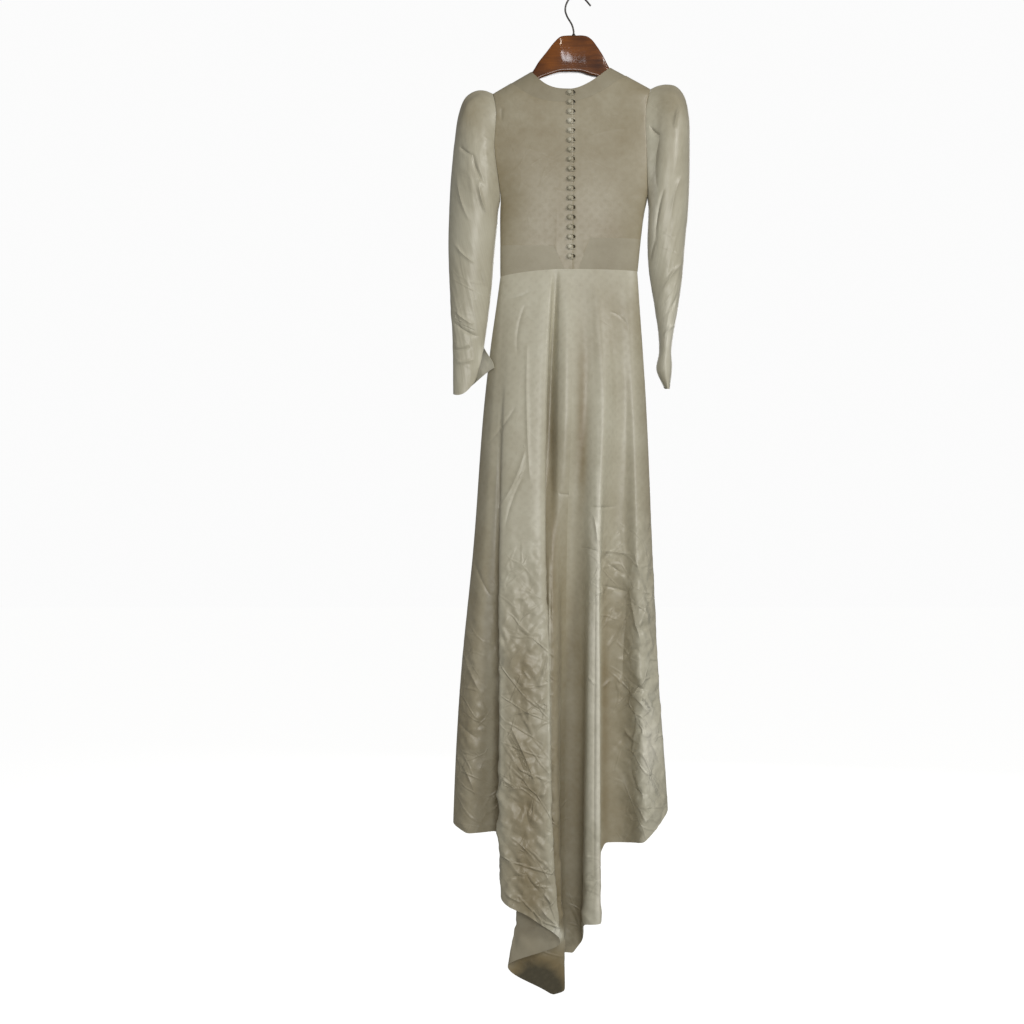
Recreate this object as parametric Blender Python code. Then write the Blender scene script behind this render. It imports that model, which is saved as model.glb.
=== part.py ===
"""A long-sleeved wedding dress on a wooden hanger.

The origin is the point where the hook bears, +Z is up, and the buttoned back of the dress faces -Y.
Sizes are in millimetres. A drop is a distance straight down from the origin.
"""
import math
from collections import namedtuple

import bmesh
import bpy
import numpy as np

MM = 0.001

# Cloth and seams
CLOTH = 1.2
SEAM = 0.3
BACK = -1
FRONT = 1

# Shoulders: the ridge line over the hanger, highest near its middle
RIDGE_X = -6.9
RIDGE_DROP = 108.4
LEFT_SLOPE = 0.579
RIGHT_SLOPE = 0.538
ROLL_HEIGHT = 40.0

# Bodice width and depth, a row for each height
Width = namedtuple("Width", "drop left right")
WIDTHS = [
    Width(196, -177, 156),
    Width(232, -170, 147),
    Width(330, -171, 146),
    Width(385, -164, 148),
    Width(428, -159, 149),
    Width(452, -160, 144),
    Width(520, -160, 135),
    Width(592, -160, 128),
]
Depth = namedtuple("Depth", "drop back front")
DEPTHS = [
    Depth(150, 20, 19),
    Depth(250, 26, 24),
    Depth(350, 31, 28),
    Depth(430, 30, 28),
    Depth(520, 24, 24),
    Depth(592, 21, 21),
]
SIDE_ROUNDNESS = 3.0
BACK_COUNTS = (3, 6, 1, 2, 1, 1, 6, 3)
FRONT_COUNTS = (3, 5, 2, 2, 5, 3)
CROWDING = 2.2

# Armholes: drop of the underarm and half the hole's depth, left and right
Armhole = namedtuple("Armhole", "underarm depth")
ARMHOLES = {-1: Armhole(428, 22), 1: Armhole(426, 22)}
ARMHOLE_STEPS = 12

# Centre-back opening, neckline and its flat band
OPENING_X = -7.3
NECK_MIDDLE_X = -12.0
NECK_ENDS = (-95.3, 72.7)
BAND_ENDS = (-137.0, 104.0)
NECK_POWERS = (3.0, 1.6)
BACK_NECK_DROP = 201.0
BACK_BAND_DROP = 229.0
FRONT_NECK_DROP = 252.0
FRONT_BAND_DROP = 280.0

# Midriff band and waist seam; at the back its inner ends slope down to the waist
WAIST_LEFT = 591.0
WAIST_MIDDLE = 577.0
WAIST_RIGHT = 580.0
WAIST_MIDDLE_X = -15.5
WAIST_HALF = 144.5
MIDRIFF_LEFT = 526.0
MIDRIFF_RIGHT = 513.0
MIDRIFF_CORNERS = (-47.5, 27.6)
MIDRIFF_FEET = (-26.0, 3.0)
FRONT_MIDRIFF = 520.0

# Buttons and their loops
BUTTONS = 18
BUTTON_X = -15.4
FIRST_BUTTON = 209.0
LAST_BUTTON = 550.5
BUTTON_RADIUS = 4.7
BUTTON_SIDES = 10
SHANK_RADIUS = 2.2
SHANK_HEIGHT = 2.6
DOME_HEIGHT = 3.4
LOOP_CORD = 1.8
LOOP_REACH = 5.2
LOOP_ROOT = 3.2

# Skirt: levels down the fold lines, and a row for each fold line across the back, left to right
LEVELS = (577, 850, 1150, 1450, 1750, 2050)
Fold = namedtuple("Fold", "name hem across out")
FOLDS = [
    Fold("left side seam", 1735, (-160, -191, -213, -244, -260, -262), (0, 5, 8, 12, 15, 15)),
    Fold("left panel", 1755, (-154, -177, -194, -217, -229, -229), (-9, -20, -24, -22, -20, -20)),
    Fold("left panel turn", 1752, (-143, -164, -171, -177, -169, -169), (-12, -28, -30, -20, -8, -8)),
    Fold("left pleat inside", 1795, (-133, -156, -158, -144, -131, -131), (-15, -32, -27, -5, 12, 12)),
    Fold("column left edge", 1878, (-120, -148, -160, -161, -161, -149), (-17, -38, -52, -66, -78, -84)),
    Fold("column face", 1910, (-93, -113, -117, -111, -105, -92), (-19, -46, -64, -80, -92, -98)),
    Fold("column right edge", 1959, (-53, -64, -67, -58, -51, -27), (-21, -46, -64, -80, -91, -96)),
    Fold("column turned under", 2022, (-46, -62, -71, -77, -98, -135), (-21, -12, -20, -34, -46, -52)),
    Fold("inner ridge", 2087, (-41, -53, -52, -48, -44, -52), (-21, -8, -26, -40, -38, -36)),
    Fold("inner ridge edge", 2080, (-35, -40, -40, -39, -35, -25), (-21, -34, -24, -30, -28, -26)),
    Fold("hollow left", 2012, (-22, -23, -29, -30, -34, -34), (-21, -42, -18, 4, 10, 12)),
    Fold("hollow middle", 2016, (-3, 2, -10, -11, -11, -6), (-21, -36, -12, 12, 18, 20)),
    Fold("hollow right", 1989, (14, 19, 13, 14, 12, 10), (-21, -34, -20, 2, 8, 10)),
    Fold("narrow fold face", 1934, (26, 35, 31, 23, 17, 13), (-21, -38, -40, -50, -58, -62)),
    Fold("narrow fold edge", 1929, (39, 55, 45, 46, 46, 50), (-21, -42, -46, -60, -70, -74)),
    Fold("narrow fold under", 1856, (52, 71, 54, 37, 33, 33), (-20, -34, -26, -8, 0, 0)),
    Fold("recess left", 1780, (68, 83, 72, 62, 61, 61), (-19, -26, -14, 2, 8, 8)),
    Fold("recess right", 1779, (87, 100, 101, 104, 109, 109), (-17, -22, -14, -2, 4, 4)),
    Fold("right column crest", 1770, (106, 119, 125, 133, 139, 139), (-14, -24, -30, -34, -38, -38)),
    Fold("right column face", 1742, (121, 134, 145, 155, 170, 170), (-9, -14, -18, -18, -16, -16)),
    Fold("right side seam", 1705, (128, 147, 160, 175, 196, 198), (0, 5, 8, 12, 15, 15)),
]
FRONT_FOLDS = 9
FRONT_OUT = (21, 32, 42, 52, 60, 60)
FRONT_WAVE = (0, 3, 7, 11, 14, 14)
FRONT_WAVES = 4
FRONT_HEM_DIP = 26.0
SAMPLES = 12
SOFTEN = 8
SEAT_FADE = 150.0
BACK_SPOTS = (0, 2, 6, 10)
FRONT_SPOTS = (0, 6)
SKIRT_ROWS = 16
BACK_SEAM_SPAN = 10

# Sleeves: a row for each ring, by its outer and inner edge and half its depth
Ring = namedtuple("Ring", "outer_x outer_drop inner_x inner_drop depth")
LEFT_SLEEVE = [
    Ring(-192, 200.5, -161.5, 441, 30),
    Ring(-210, 202, -163.6, 452, 38),
    Ring(-232, 216, -164.6, 465, 44),
    Ring(-246.5, 250, -165.5, 480, 47),
    Ring(-255, 302, -166.3, 500, 47),
    Ring(-262, 370, -167.8, 526, 44),
    Ring(-266.5, 445, -170.3, 562, 40),
    Ring(-268.5, 533, -174, 613, 34),
    Ring(-265, 632, -183.5, 680, 28),
    Ring(-260.5, 712, -193.4, 737, 22),
    Ring(-260.0, 726, -195.0, 745, 21.3),
    Ring(-259, 772, -200.8, 771, 19),
    Ring(-258.5, 836, -208, 798, 17),
]
RIGHT_SLEEVE = [
    Ring(171.4, 190.5, 151.4, 441, 30),
    Ring(190, 188.5, 151.6, 454, 38),
    Ring(209, 193, 151.2, 468, 44),
    Ring(226, 212, 150.4, 485, 47),
    Ring(236.5, 256, 149.6, 508, 47),
    Ring(238, 319, 149.8, 538, 44),
    Ring(236.5, 418, 152, 575, 40),
    Ring(229, 512, 158, 616, 36),
    Ring(220.7, 608, 167, 670, 33),
    Ring(207, 692, 173, 718, 32),
    Ring(199.5, 742, 173.5, 750, 32),
    Ring(200.8, 782, 168.4, 785, 31),
    Ring(196, 824, 184, 821, 27),
]
HEAD_PLEATS = 5
HEAD_PLEAT_RISE = 2.4
HEAD_PLEAT_RINGS = 4
SLIT_ROW = 10
Flap = namedtuple("Flap", "row across out up")
PLACKET_FLAP = [Flap(11, 6, -1, 0), Flap(12, 26, -24, 0), Flap(13, 36, -34, 19)]
PLACKET_PART = 3.0

# Hanger, a row for each section from left to right
Section = namedtuple("Section", "x top bottom half")
HANGER = [
    Section(-148, 0, 208, 3.5),
    Section(-130, 0, 203, 5.0),
    Section(-112, 0, 196, 6.0),
    Section(-93, 0, 187, 7.0),
    Section(-80, 141, 177, 8.5),
    Section(-63, 120, 170, 10.5),
    Section(-47, 100, 165, 11.5),
    Section(-35, 89, 162, 12.0),
    Section(-20, 86, 161, 12.0),
    Section(-4, 86, 161, 12.0),
    Section(14, 86, 163, 12.0),
    Section(23, 88, 166, 12.0),
    Section(33, 95, 169, 11.5),
    Section(43, 108, 171, 11.0),
    Section(57, 129, 178, 9.0),
    Section(70, 0, 186, 7.0),
    Section(95, 0, 192, 6.0),
    Section(113, 0, 197, 5.0),
    Section(130, 0, 201, 3.5),
]
HANGER_SIDES = 14
ARM_CLEARANCE = 0.9
BOSS_SQUARENESS = 0.62
ARM_SQUARENESS = 1.0
HOOK_X = -5.5
HOOK_WIRE = 3.8
HOOK_FOOT = 80.0
COLLAR_RADIUS = 4.6
COLLAR_TOP_RADIUS = 2.6
COLLAR_SIDES = 12
Bend = namedtuple("Bend", "x drop")
HOOK = [
    Bend(-5.5, 80), Bend(-5.7, 74), Bend(-9.2, 61), Bend(-19.3, 43.3), Bend(-23.1, 31), Bend(-21, 17.5),
    Bend(-13.8, 5.6), Bend(0, -2.2), Bend(12.5, 2.2), Bend(21, 10.5), Bend(30.2, 21.4),
]
HOOK_STEPS = 3

# Finishes: colour, roughness, metallic
FINISHES = {
    "figured satin": ((0.66, 0.62, 0.49, 1), 0.42, 0.0),
    "plain satin": ((0.60, 0.56, 0.44, 1), 0.5, 0.0),
    "varnished wood": ((0.20, 0.06, 0.015, 1), 0.22, 0.0),
    "dark steel wire": ((0.10, 0.10, 0.10, 1), 0.35, 1.0),
}


def clear_objects():
    for item in list(bpy.data.objects):
        bpy.data.objects.remove(item, do_unlink=True)


def finish_for(name, finish):
    """One Principled material of its own for each sub-part."""
    colour, roughness, metallic = FINISHES[finish]
    material = bpy.data.materials.new(f"{finish} {name}")
    material.use_nodes = True
    shader = material.node_tree.nodes["Principled BSDF"]
    shader.inputs["Base Color"].default_value = colour
    shader.inputs["Roughness"].default_value = roughness
    shader.inputs["Metallic"].default_value = metallic
    material.diffuse_color = colour
    return material


def add_object(name, mesh, finish):
    item = bpy.data.objects.new(name, mesh)
    bpy.context.scene.collection.objects.link(item)
    mesh.materials.append(finish_for(name, finish))
    return item


def unit(vectors):
    length = np.linalg.norm(vectors, axis=-1, keepdims=True)
    return vectors / np.maximum(length, 1e-9)


def smooth_value(knots, values, at):
    """A smooth curve through a value at each knot, read at any place."""
    knots = np.asarray(knots, dtype=float)
    values = np.asarray(values, dtype=float)
    slopes = np.gradient(values, knots)
    at = np.clip(at, knots[0], knots[-1])
    index = np.clip(np.searchsorted(knots, at, side="right") - 1, 0, len(knots) - 2)
    span = knots[index + 1] - knots[index]
    s = (at - knots[index]) / span
    start = (1 + 2 * s) * (1 - s) ** 2 * values[index] + s * (1 - s) ** 2 * span * slopes[index]
    end = s * s * (3 - 2 * s) * values[index + 1] + s * s * (s - 1) * span * slopes[index + 1]
    return start + end


def shoulder(x):
    """Drop of the ridge that the hanger gives the shoulders."""
    reach = x - RIDGE_X
    return RIDGE_DROP + np.where(reach < 0, -LEFT_SLOPE * reach, RIGHT_SLOPE * reach)


def side_edges(drop):
    rows = [row.drop for row in WIDTHS]
    left = smooth_value(rows, [row.left for row in WIDTHS], drop)
    right = smooth_value(rows, [row.right for row in WIDTHS], drop)
    return left, right


def shoulder_tip(hand):
    """Drop at which the shoulder line meets the armhole."""
    drop = np.float64(200)
    for _ in range(20):
        drop = shoulder(side_edges(drop)[0 if hand < 0 else 1])
    return float(drop)


TIPS = {hand: shoulder_tip(hand) for hand in (-1, 1)}


def armhole_depth(drop, hand):
    """Half the armhole's depth: an ellipse from the shoulder tip to the underarm."""
    hole = ARMHOLES[hand]
    middle = (TIPS[hand] + hole.underarm) / 2
    half = (hole.underarm - TIPS[hand]) / 2
    return hole.depth * np.sqrt(np.clip(1 - ((drop - middle) / half) ** 2, 0, 1))


def body_out(x, drop, face):
    """How far the bodice stands out at a point of its back or front."""
    left, right = side_edges(drop)
    reach = np.clip((2 * x - left - right) / (right - left), -1, 1)
    flat = [row.back if face == BACK else row.front for row in DEPTHS]
    depth = smooth_value([row.drop for row in DEPTHS], flat, drop)
    hole = np.where(reach < 0, armhole_depth(drop, -1), armhole_depth(drop, 1))
    folded = (1 - np.abs(reach) ** SIDE_ROUNDNESS) ** (1 / SIDE_ROUNDNESS)
    open_share = hole / ARMHOLES[-1].depth
    rounding = folded * (1 - open_share) + (1 - reach ** 4) * open_share
    below = np.clip((drop - shoulder(x)) / ROLL_HEIGHT, 0, 1)
    roll = np.sqrt(1 - (1 - below) ** 2)
    return face * (hole + (depth - hole) * rounding * roll)


def across(column, drop):
    """Place across the bodice: column -1 at the left seam, 0 at the opening, 1 at the right seam."""
    left, right = side_edges(drop)
    reach = np.where(column < 0, OPENING_X - left, right - OPENING_X)
    return OPENING_X + reach * np.sin(math.pi / 2 * column)


def neck_curve(x, middle_drop, ends):
    """A curve that sags to its middle drop and rises to the shoulder line at both ends."""
    left_rise = middle_drop - shoulder(np.float64(ends[0]))
    right_rise = middle_drop - shoulder(np.float64(ends[1]))
    left_reach = np.clip((NECK_MIDDLE_X - x) / (NECK_MIDDLE_X - ends[0]), 0, 2)
    right_reach = np.clip((x - NECK_MIDDLE_X) / (ends[1] - NECK_MIDDLE_X), 0, 2)
    return middle_drop - left_rise * left_reach ** NECK_POWERS[0] - right_rise * right_reach ** NECK_POWERS[1]


def waist(x):
    """Drop of the waist seam: it sags to both sides, most to the left."""
    sag = np.where(x < WAIST_MIDDLE_X, WAIST_LEFT, WAIST_RIGHT) - WAIST_MIDDLE
    return WAIST_MIDDLE + sag * ((x - WAIST_MIDDLE_X) / WAIST_HALF) ** 2


def bodice_top(x, band_drop):
    return np.maximum(shoulder(x), neck_curve(x, band_drop, BAND_ENDS))


def back_bodice_end(x):
    """Lower edge of the back bodice: along the midriff, then down its sloping ends to the waist."""
    places = (-160, MIDRIFF_CORNERS[0], MIDRIFF_FEET[0], MIDRIFF_FEET[1], MIDRIFF_CORNERS[1], 135)
    drops = (MIDRIFF_LEFT, MIDRIFF_LEFT + 3, waist(MIDRIFF_FEET[0]), waist(MIDRIFF_FEET[1]),
             MIDRIFF_RIGHT - 1, MIDRIFF_RIGHT)
    return np.interp(x, places, drops)


def meet(column, edge):
    """Drop at which each column crosses an edge that is given by its place across."""
    drop = np.full_like(column, 300.0)
    for _ in range(12):
        drop = edge(across(column, drop))
    return drop


def face_grid(columns, rows, top, bottom, face):
    """Outer points of the bodice between two edges, columns straight down."""
    drop_top = meet(columns, top)
    drop_bottom = meet(columns, bottom)
    drop = drop_top + (drop_bottom - drop_top) * rows
    x = across(columns[None, :], drop)
    return np.stack([x, body_out(x, drop, face), -drop], axis=-1)


def plane_grid(upper, lower, rows, face):
    """Outer points between two edges that are given point by point as x and drop."""
    plane = upper + (lower - upper) * rows[:, None, None]
    x = plane[..., 0]
    drop = plane[..., 1]
    return np.stack([x, body_out(x, drop, face), -drop], axis=-1)


def body_inward(points, face):
    """Unit vectors into the bodice from its own surface; where back meets front they stay in that plane."""
    x = points[..., 0]
    drop = -points[..., 2]
    step = 0.4
    slope_x = (body_out(x + step, drop, face) - body_out(x - step, drop, face)) / (2 * step)
    slope_drop = (body_out(x, drop + step, face) - body_out(x, drop - step, face)) / (2 * step)
    inward = -face * np.stack([-slope_x, np.ones_like(x), slope_drop], axis=-1)
    inward[np.abs(points[..., 1]) < 0.02, 1] = 0
    return unit(inward)


def inward_of(points, wrap=False):
    """Unit vectors into a tube from its grid of outer points."""
    if wrap:
        side = (np.roll(points, -1, axis=1) - np.roll(points, 1, axis=1)) / 2
    else:
        side = np.gradient(points, axis=1)
    return unit(np.cross(side, np.gradient(points, axis=0)))


def inside_edge(edge, neighbour, inward):
    """Unit steps from an edge into its panel, along the cloth and square to the edge."""
    step = unit(np.cross(np.gradient(edge, axis=0), inward))
    towards = np.sum(step * (neighbour - edge), axis=-1, keepdims=True)
    return step * np.where(towards < 0, -1, 1)


def pulled_in(points, inward, gap):
    """Draws a grid's four edges back along the cloth by half a seam."""
    trimmed = points.copy()
    trimmed[0] += gap * inside_edge(points[0], points[1], inward[0])
    trimmed[-1] += gap * inside_edge(points[-1], points[-2], inward[-1])
    trimmed[:, 0] += gap * inside_edge(points[:, 0], points[:, 1], inward[:, 0])
    trimmed[:, -1] += gap * inside_edge(points[:, -1], points[:, -2], inward[:, -1])
    return trimmed


def wall(name, points, inward, finish, slit_row=None, face=None):
    """Closes a cloth wall round a grid of outer points.

    With slit_row the first and last columns are one down to that row, and part below it.
    With a face the wall stays on that side of the plane where back meets front.
    """
    gap = SEAM / 2
    ring = slit_row is not None
    outer = points.copy() if ring else pulled_in(points, inward, gap)
    if ring:
        outer[0] += 2 * gap * unit(points[1] - points[0])
    inner = outer + inward * CLOTH
    if face is not None:
        inner[..., 1] = face * np.maximum(face * inner[..., 1], gap)
    skins = [outer, inner]
    rows, columns = points.shape[:2]
    mesh = bmesh.new()
    corners = [[[mesh.verts.new(skin[r, c] * MM) for c in range(columns)] for r in range(rows)] for skin in skins]

    def corner(skin, row, column):
        if ring and column == columns - 1 and row <= slit_row:
            column = 0
        return corners[skin][row][column]

    def quad(first, second, third, fourth):
        mesh.faces.new([corner(*first), corner(*second), corner(*third), corner(*fourth)])

    for r in range(rows - 1):
        for c in range(columns - 1):
            for skin in (0, 1):
                quad((skin, r, c), (skin, r, c + 1), (skin, r + 1, c + 1), (skin, r + 1, c))
    for c in range(columns - 1):
        for r in (0, rows - 1):
            quad((0, r, c), (0, r, c + 1), (1, r, c + 1), (1, r, c))
    for r in range(slit_row if ring else 0, rows - 1):
        for c in (0, columns - 1):
            quad((0, r, c), (0, r + 1, c), (1, r + 1, c), (1, r, c))
    loose = [vertex for vertex in mesh.verts if not vertex.link_faces]
    bmesh.ops.delete(mesh, geom=loose, context="VERTS")
    bmesh.ops.recalc_face_normals(mesh, faces=mesh.faces)
    data = bpy.data.meshes.new(name)
    mesh.to_mesh(data)
    mesh.free()
    data.shade_smooth()
    data.set_sharp_from_angle(angle=math.radians(50))
    return add_object(name, data, finish)


def panel(name, points, inward, columns, finish, face=None):
    """One panel: a run of columns cut out of a larger grid."""
    return wall(name, points[:, columns], inward[:, columns], finish, face=face)


def bodice_rows(columns, left_end, right_end, below):
    """Rows for each column: the armhole's steps at both sides, then even steps to the lower edge."""
    turn = np.linspace(0, math.pi, ARMHOLE_STEPS + 1)
    sides = []
    for hand, end in ((-1, left_end), (1, right_end)):
        tip = TIPS[hand]
        underarm = ARMHOLES[hand].underarm
        drops = (tip + underarm) / 2 - (underarm - tip) / 2 * np.cos(turn)
        drops = np.concatenate([drops, np.linspace(underarm, end, below + 1)[1:]])
        sides.append((drops - tip) / (end - tip))
    share = (columns + 1) / 2
    return sides[0][:, None] * (1 - share) + sides[1][:, None] * share


def column_at(x, drop):
    """The column that passes through a place on the bodice."""
    left, right = side_edges(np.float64(drop))
    reach = (x - OPENING_X) / ((OPENING_X - left) if x < OPENING_X else (right - OPENING_X))
    return math.asin(reach) * 2 / math.pi


def spread(stops, counts, dense):
    """Columns through every stop, a count of steps between each pair, closer together beside a dense stop."""
    columns = [stops[0]]
    for index, count in enumerate(counts):
        steps = np.linspace(0, 1, count + 1)[1:]
        if index in dense and index < len(counts) / 2:
            steps = steps ** CROWDING
        elif index + 1 in dense and index > len(counts) / 2 - 1:
            steps = 1 - (1 - steps) ** CROWDING
        columns.extend(stops[index] + (stops[index + 1] - stops[index]) * steps)
    return np.array(columns)


def back_columns():
    """Columns of the back bodice, with one at every corner of its edges."""
    left_band = column_at(BAND_ENDS[0], 184)
    right_band = column_at(BAND_ENDS[1], 168)
    left_corner = column_at(MIDRIFF_CORNERS[0], MIDRIFF_LEFT + 3)
    right_corner = column_at(MIDRIFF_CORNERS[1], MIDRIFF_RIGHT - 1)
    left_foot = column_at(MIDRIFF_FEET[0], WAIST_MIDDLE)
    right_foot = column_at(MIDRIFF_FEET[1], WAIST_MIDDLE)
    stops = (-1, left_band, left_corner, left_foot, 0, right_foot, right_corner, right_band, 1)
    return spread(stops, BACK_COUNTS, dense=(1, 7))


def front_columns():
    stops = (-1, column_at(BAND_ENDS[0], 184), column_at(MIDRIFF_CORNERS[0], FRONT_MIDRIFF), 0,
             column_at(MIDRIFF_CORNERS[1], FRONT_MIDRIFF), column_at(BAND_ENDS[1], 168), 1)
    return spread(stops, FRONT_COUNTS, dense=(1, 5))


def build_bodice():
    """Both faces of the bodice; gives back their edges, which the pieces sewn to them share."""
    columns = back_columns()
    opening = int(np.argmin(np.abs(columns)))
    rows = bodice_rows(columns, MIDRIFF_LEFT, MIDRIFF_RIGHT, 4)
    back = face_grid(columns, rows, lambda x: bodice_top(x, BACK_BAND_DROP), back_bodice_end, BACK)
    inward = body_inward(back, BACK)
    panel("bodice_back_left", back, inward, slice(0, opening + 1), "figured satin", BACK)
    panel("bodice_back_right", back, inward, slice(opening, None), "figured satin", BACK)
    columns = front_columns()
    rows = bodice_rows(columns, FRONT_MIDRIFF, FRONT_MIDRIFF, 3)
    front = face_grid(columns, rows, lambda x: bodice_top(x, FRONT_BAND_DROP),
                      lambda x: np.full_like(x, FRONT_MIDRIFF), FRONT)
    panel("bodice_front", front, body_inward(front, FRONT), slice(None), "figured satin", FRONT)
    return back, front


def band_points(edge, middle_drop, counts, face):
    """The neck band: its lower edge is the bodice's own, its upper edge the neckline."""
    first = counts[0]
    last = len(edge) - counts[-1]
    lower = np.stack([edge[first:last, 0], -edge[first:last, 2]], axis=-1)
    reach = np.where(lower[:, 0] < OPENING_X, (lower[:, 0] - OPENING_X) / (BAND_ENDS[0] - OPENING_X),
                     (lower[:, 0] - OPENING_X) / (BAND_ENDS[1] - OPENING_X))
    ends = np.where(lower[:, 0] < OPENING_X, NECK_ENDS[0], NECK_ENDS[1])
    x = OPENING_X + (ends - OPENING_X) * reach
    upper = np.stack([x, neck_curve(x, middle_drop, NECK_ENDS)], axis=-1)
    return plane_grid(upper, lower, np.linspace(0, 1, 3), face)


def build_neck_band(back, front):
    points = band_points(back[0], BACK_NECK_DROP, BACK_COUNTS, BACK)
    inward = body_inward(points, BACK)
    opening = sum(BACK_COUNTS[1:4])
    panel("neck_band_back_left", points, inward, slice(0, opening + 1), "plain satin", BACK)
    panel("neck_band_back_right", points, inward, slice(opening, None), "plain satin", BACK)
    points = band_points(front[0], FRONT_NECK_DROP, FRONT_COUNTS, FRONT)
    panel("neck_band_front", points, body_inward(points, FRONT), slice(None), "plain satin", FRONT)


def build_midriff(back, front):
    """The band between bodice and skirt: its upper edge is the bodice's own."""
    rows = np.linspace(0, 1, 4)
    left_count = sum(BACK_COUNTS[:2]) + 1
    right_count = sum(BACK_COUNTS[-2:]) + 1
    for name, edge, foot, outer in (("midriff_back_left", back[-1, :left_count], MIDRIFF_FEET[0], 0),
                                    ("midriff_back_right", back[-1, -right_count:], MIDRIFF_FEET[1], -1)):
        upper = np.stack([edge[:, 0], -edge[:, 2]], axis=-1)
        drop = WAIST_LEFT if outer == 0 else WAIST_RIGHT
        side = float(side_edges(np.float64(drop))[0 if outer == 0 else 1])
        corner = upper[-1 if outer == 0 else 0, 0]
        x = foot + (side - foot) * (upper[:, 0] - corner) / (upper[outer, 0] - corner)
        points = plane_grid(upper, np.stack([x, waist(x)], axis=-1), rows, BACK)
        panel(name, points, body_inward(points, BACK), slice(None), "plain satin", BACK)
    points = face_grid(front_columns(), rows[:, None], lambda x: np.full_like(x, FRONT_MIDRIFF), waist, FRONT)
    panel("midriff_front", points, body_inward(points, FRONT), slice(None), "plain satin", FRONT)


def fold_lines():
    """Every fold line round the skirt: place across and out at each level, and hem drop."""
    across_rows = [fold.across for fold in FOLDS]
    out_rows = [fold.out for fold in FOLDS]
    hems = [fold.hem for fold in FOLDS]
    left = np.array(FOLDS[0].across, dtype=float)
    right = np.array(FOLDS[-1].across, dtype=float)
    for step in range(1, FRONT_FOLDS + 1):
        part = step / (FRONT_FOLDS + 1)
        swing = (1 - math.cos(math.pi * part)) / 2
        across_rows.append(right + (left - right) * (0.5 * part + 0.5 * swing))
        wave = math.cos(2 * math.pi * FRONT_WAVES * part)
        rounding = math.sin(math.pi * part) ** 0.5
        out_rows.append(np.array(FRONT_OUT) * rounding + np.array(FRONT_WAVE) * wave * rounding)
        hem = FOLDS[-1].hem + (FOLDS[0].hem - FOLDS[-1].hem) * part
        hems.append(hem + FRONT_HEM_DIP * math.sin(math.pi * part))
    return np.array(across_rows, dtype=float), np.array(out_rows, dtype=float), np.array(hems, dtype=float)


def softened(values, axis=0):
    """Rounds every fold a little, all round the closed section."""
    for _ in range(SOFTEN):
        values = (np.roll(values, 1, axis) + 2 * values + np.roll(values, -1, axis)) / 4
    return values


def between(points, part):
    """Centripetal curve from the second of four points to the third, row by row."""
    first, second, third, fourth = points
    knots = [np.zeros(first.shape[:-1] + (1,))]
    for start, end in ((first, second), (second, third), (third, fourth)):
        step = np.linalg.norm(end - start, axis=-1, keepdims=True) ** 0.5
        knots.append(knots[-1] + np.maximum(step, 0.3))
    t0, t1, t2, t3 = knots
    t = t1 + (t2 - t1) * part
    a1 = (t1 - t) / (t1 - t0) * first + (t - t0) / (t1 - t0) * second
    a2 = (t2 - t) / (t2 - t1) * second + (t - t1) / (t2 - t1) * third
    a3 = (t3 - t) / (t3 - t2) * third + (t - t2) / (t3 - t2) * fourth
    b1 = (t2 - t) / (t2 - t0) * a1 + (t - t0) / (t2 - t0) * a2
    b2 = (t3 - t) / (t3 - t1) * a2 + (t - t1) / (t3 - t1) * a3
    return (t2 - t) / (t2 - t1) * b1 + (t - t1) / (t2 - t1) * b2


def skirt_grid(rows):
    """Outer points of the whole skirt as one closed ring of columns."""
    across_rows, out_rows, hems = fold_lines()
    count = len(hems)
    spots = np.arange(count * SAMPLES) / SAMPLES
    ring = np.arange(count + 1)
    closed_waist = np.append(across_rows[:, 0], across_rows[0, 0])
    waist_x = softened(np.interp(spots, ring, closed_waist))
    waist_x[0] = across_rows[0, 0]
    waist_x[(len(FOLDS) - 1) * SAMPLES] = across_rows[len(FOLDS) - 1, 0]
    hem = softened(np.interp(spots, ring, np.append(hems, hems[0])))
    top = waist(waist_x)
    drop = top + (hem - top) * rows[:, None]
    plane = np.zeros(drop.shape + (2,))
    for column, spot in enumerate(spots):
        line = int(spot)
        near = []
        for step in (-1, 0, 1, 2):
            index = (line + step) % count
            x = smooth_value(LEVELS, across_rows[index], drop[:, column])
            y = smooth_value(LEVELS, out_rows[index], drop[:, column])
            near.append(np.stack([x, y], axis=-1))
        plane[:, column] = between(near, spot - line)
    plane = softened(plane, axis=1)
    on_back = spots <= len(FOLDS) - 1
    seat_y = np.where(on_back, body_out(waist_x, top, BACK), body_out(waist_x, top, FRONT))
    fade = np.clip(1 - (drop - top) / SEAT_FADE, 0, 1)
    fade = fade * fade * (3 - 2 * fade)
    plane[..., 0] += (waist_x - plane[0, :, 0]) * fade
    plane[..., 1] += (seat_y - plane[0, :, 1]) * fade
    return np.concatenate([plane, -drop[..., None]], axis=-1)


def build_skirt():
    """Cuts the closed skirt into its panels at the side seams and the centre-back seam."""
    back_spans = len(FOLDS) - 1
    samples = [span * SAMPLES + spot for span in range(back_spans) for spot in BACK_SPOTS]
    samples += [(back_spans + span) * SAMPLES + spot for span in range(FRONT_FOLDS + 1) for spot in FRONT_SPOTS]
    points = skirt_grid(np.linspace(0, 1, SKIRT_ROWS))[:, samples]
    inward = inward_of(points, wrap=True)
    points = np.concatenate([points, points[:, :1]], axis=1)
    inward = np.concatenate([inward, inward[:, :1]], axis=1)
    back_seam = BACK_SEAM_SPAN * len(BACK_SPOTS) + len(BACK_SPOTS) // 2
    right_seam = back_spans * len(BACK_SPOTS)
    panel("skirt_back_left", points, inward, slice(0, back_seam + 1), "figured satin")
    panel("skirt_back_right", points, inward, slice(back_seam, right_seam + 1), "figured satin")
    panel("skirt_front", points, inward, slice(right_seam, None), "figured satin")


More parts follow.
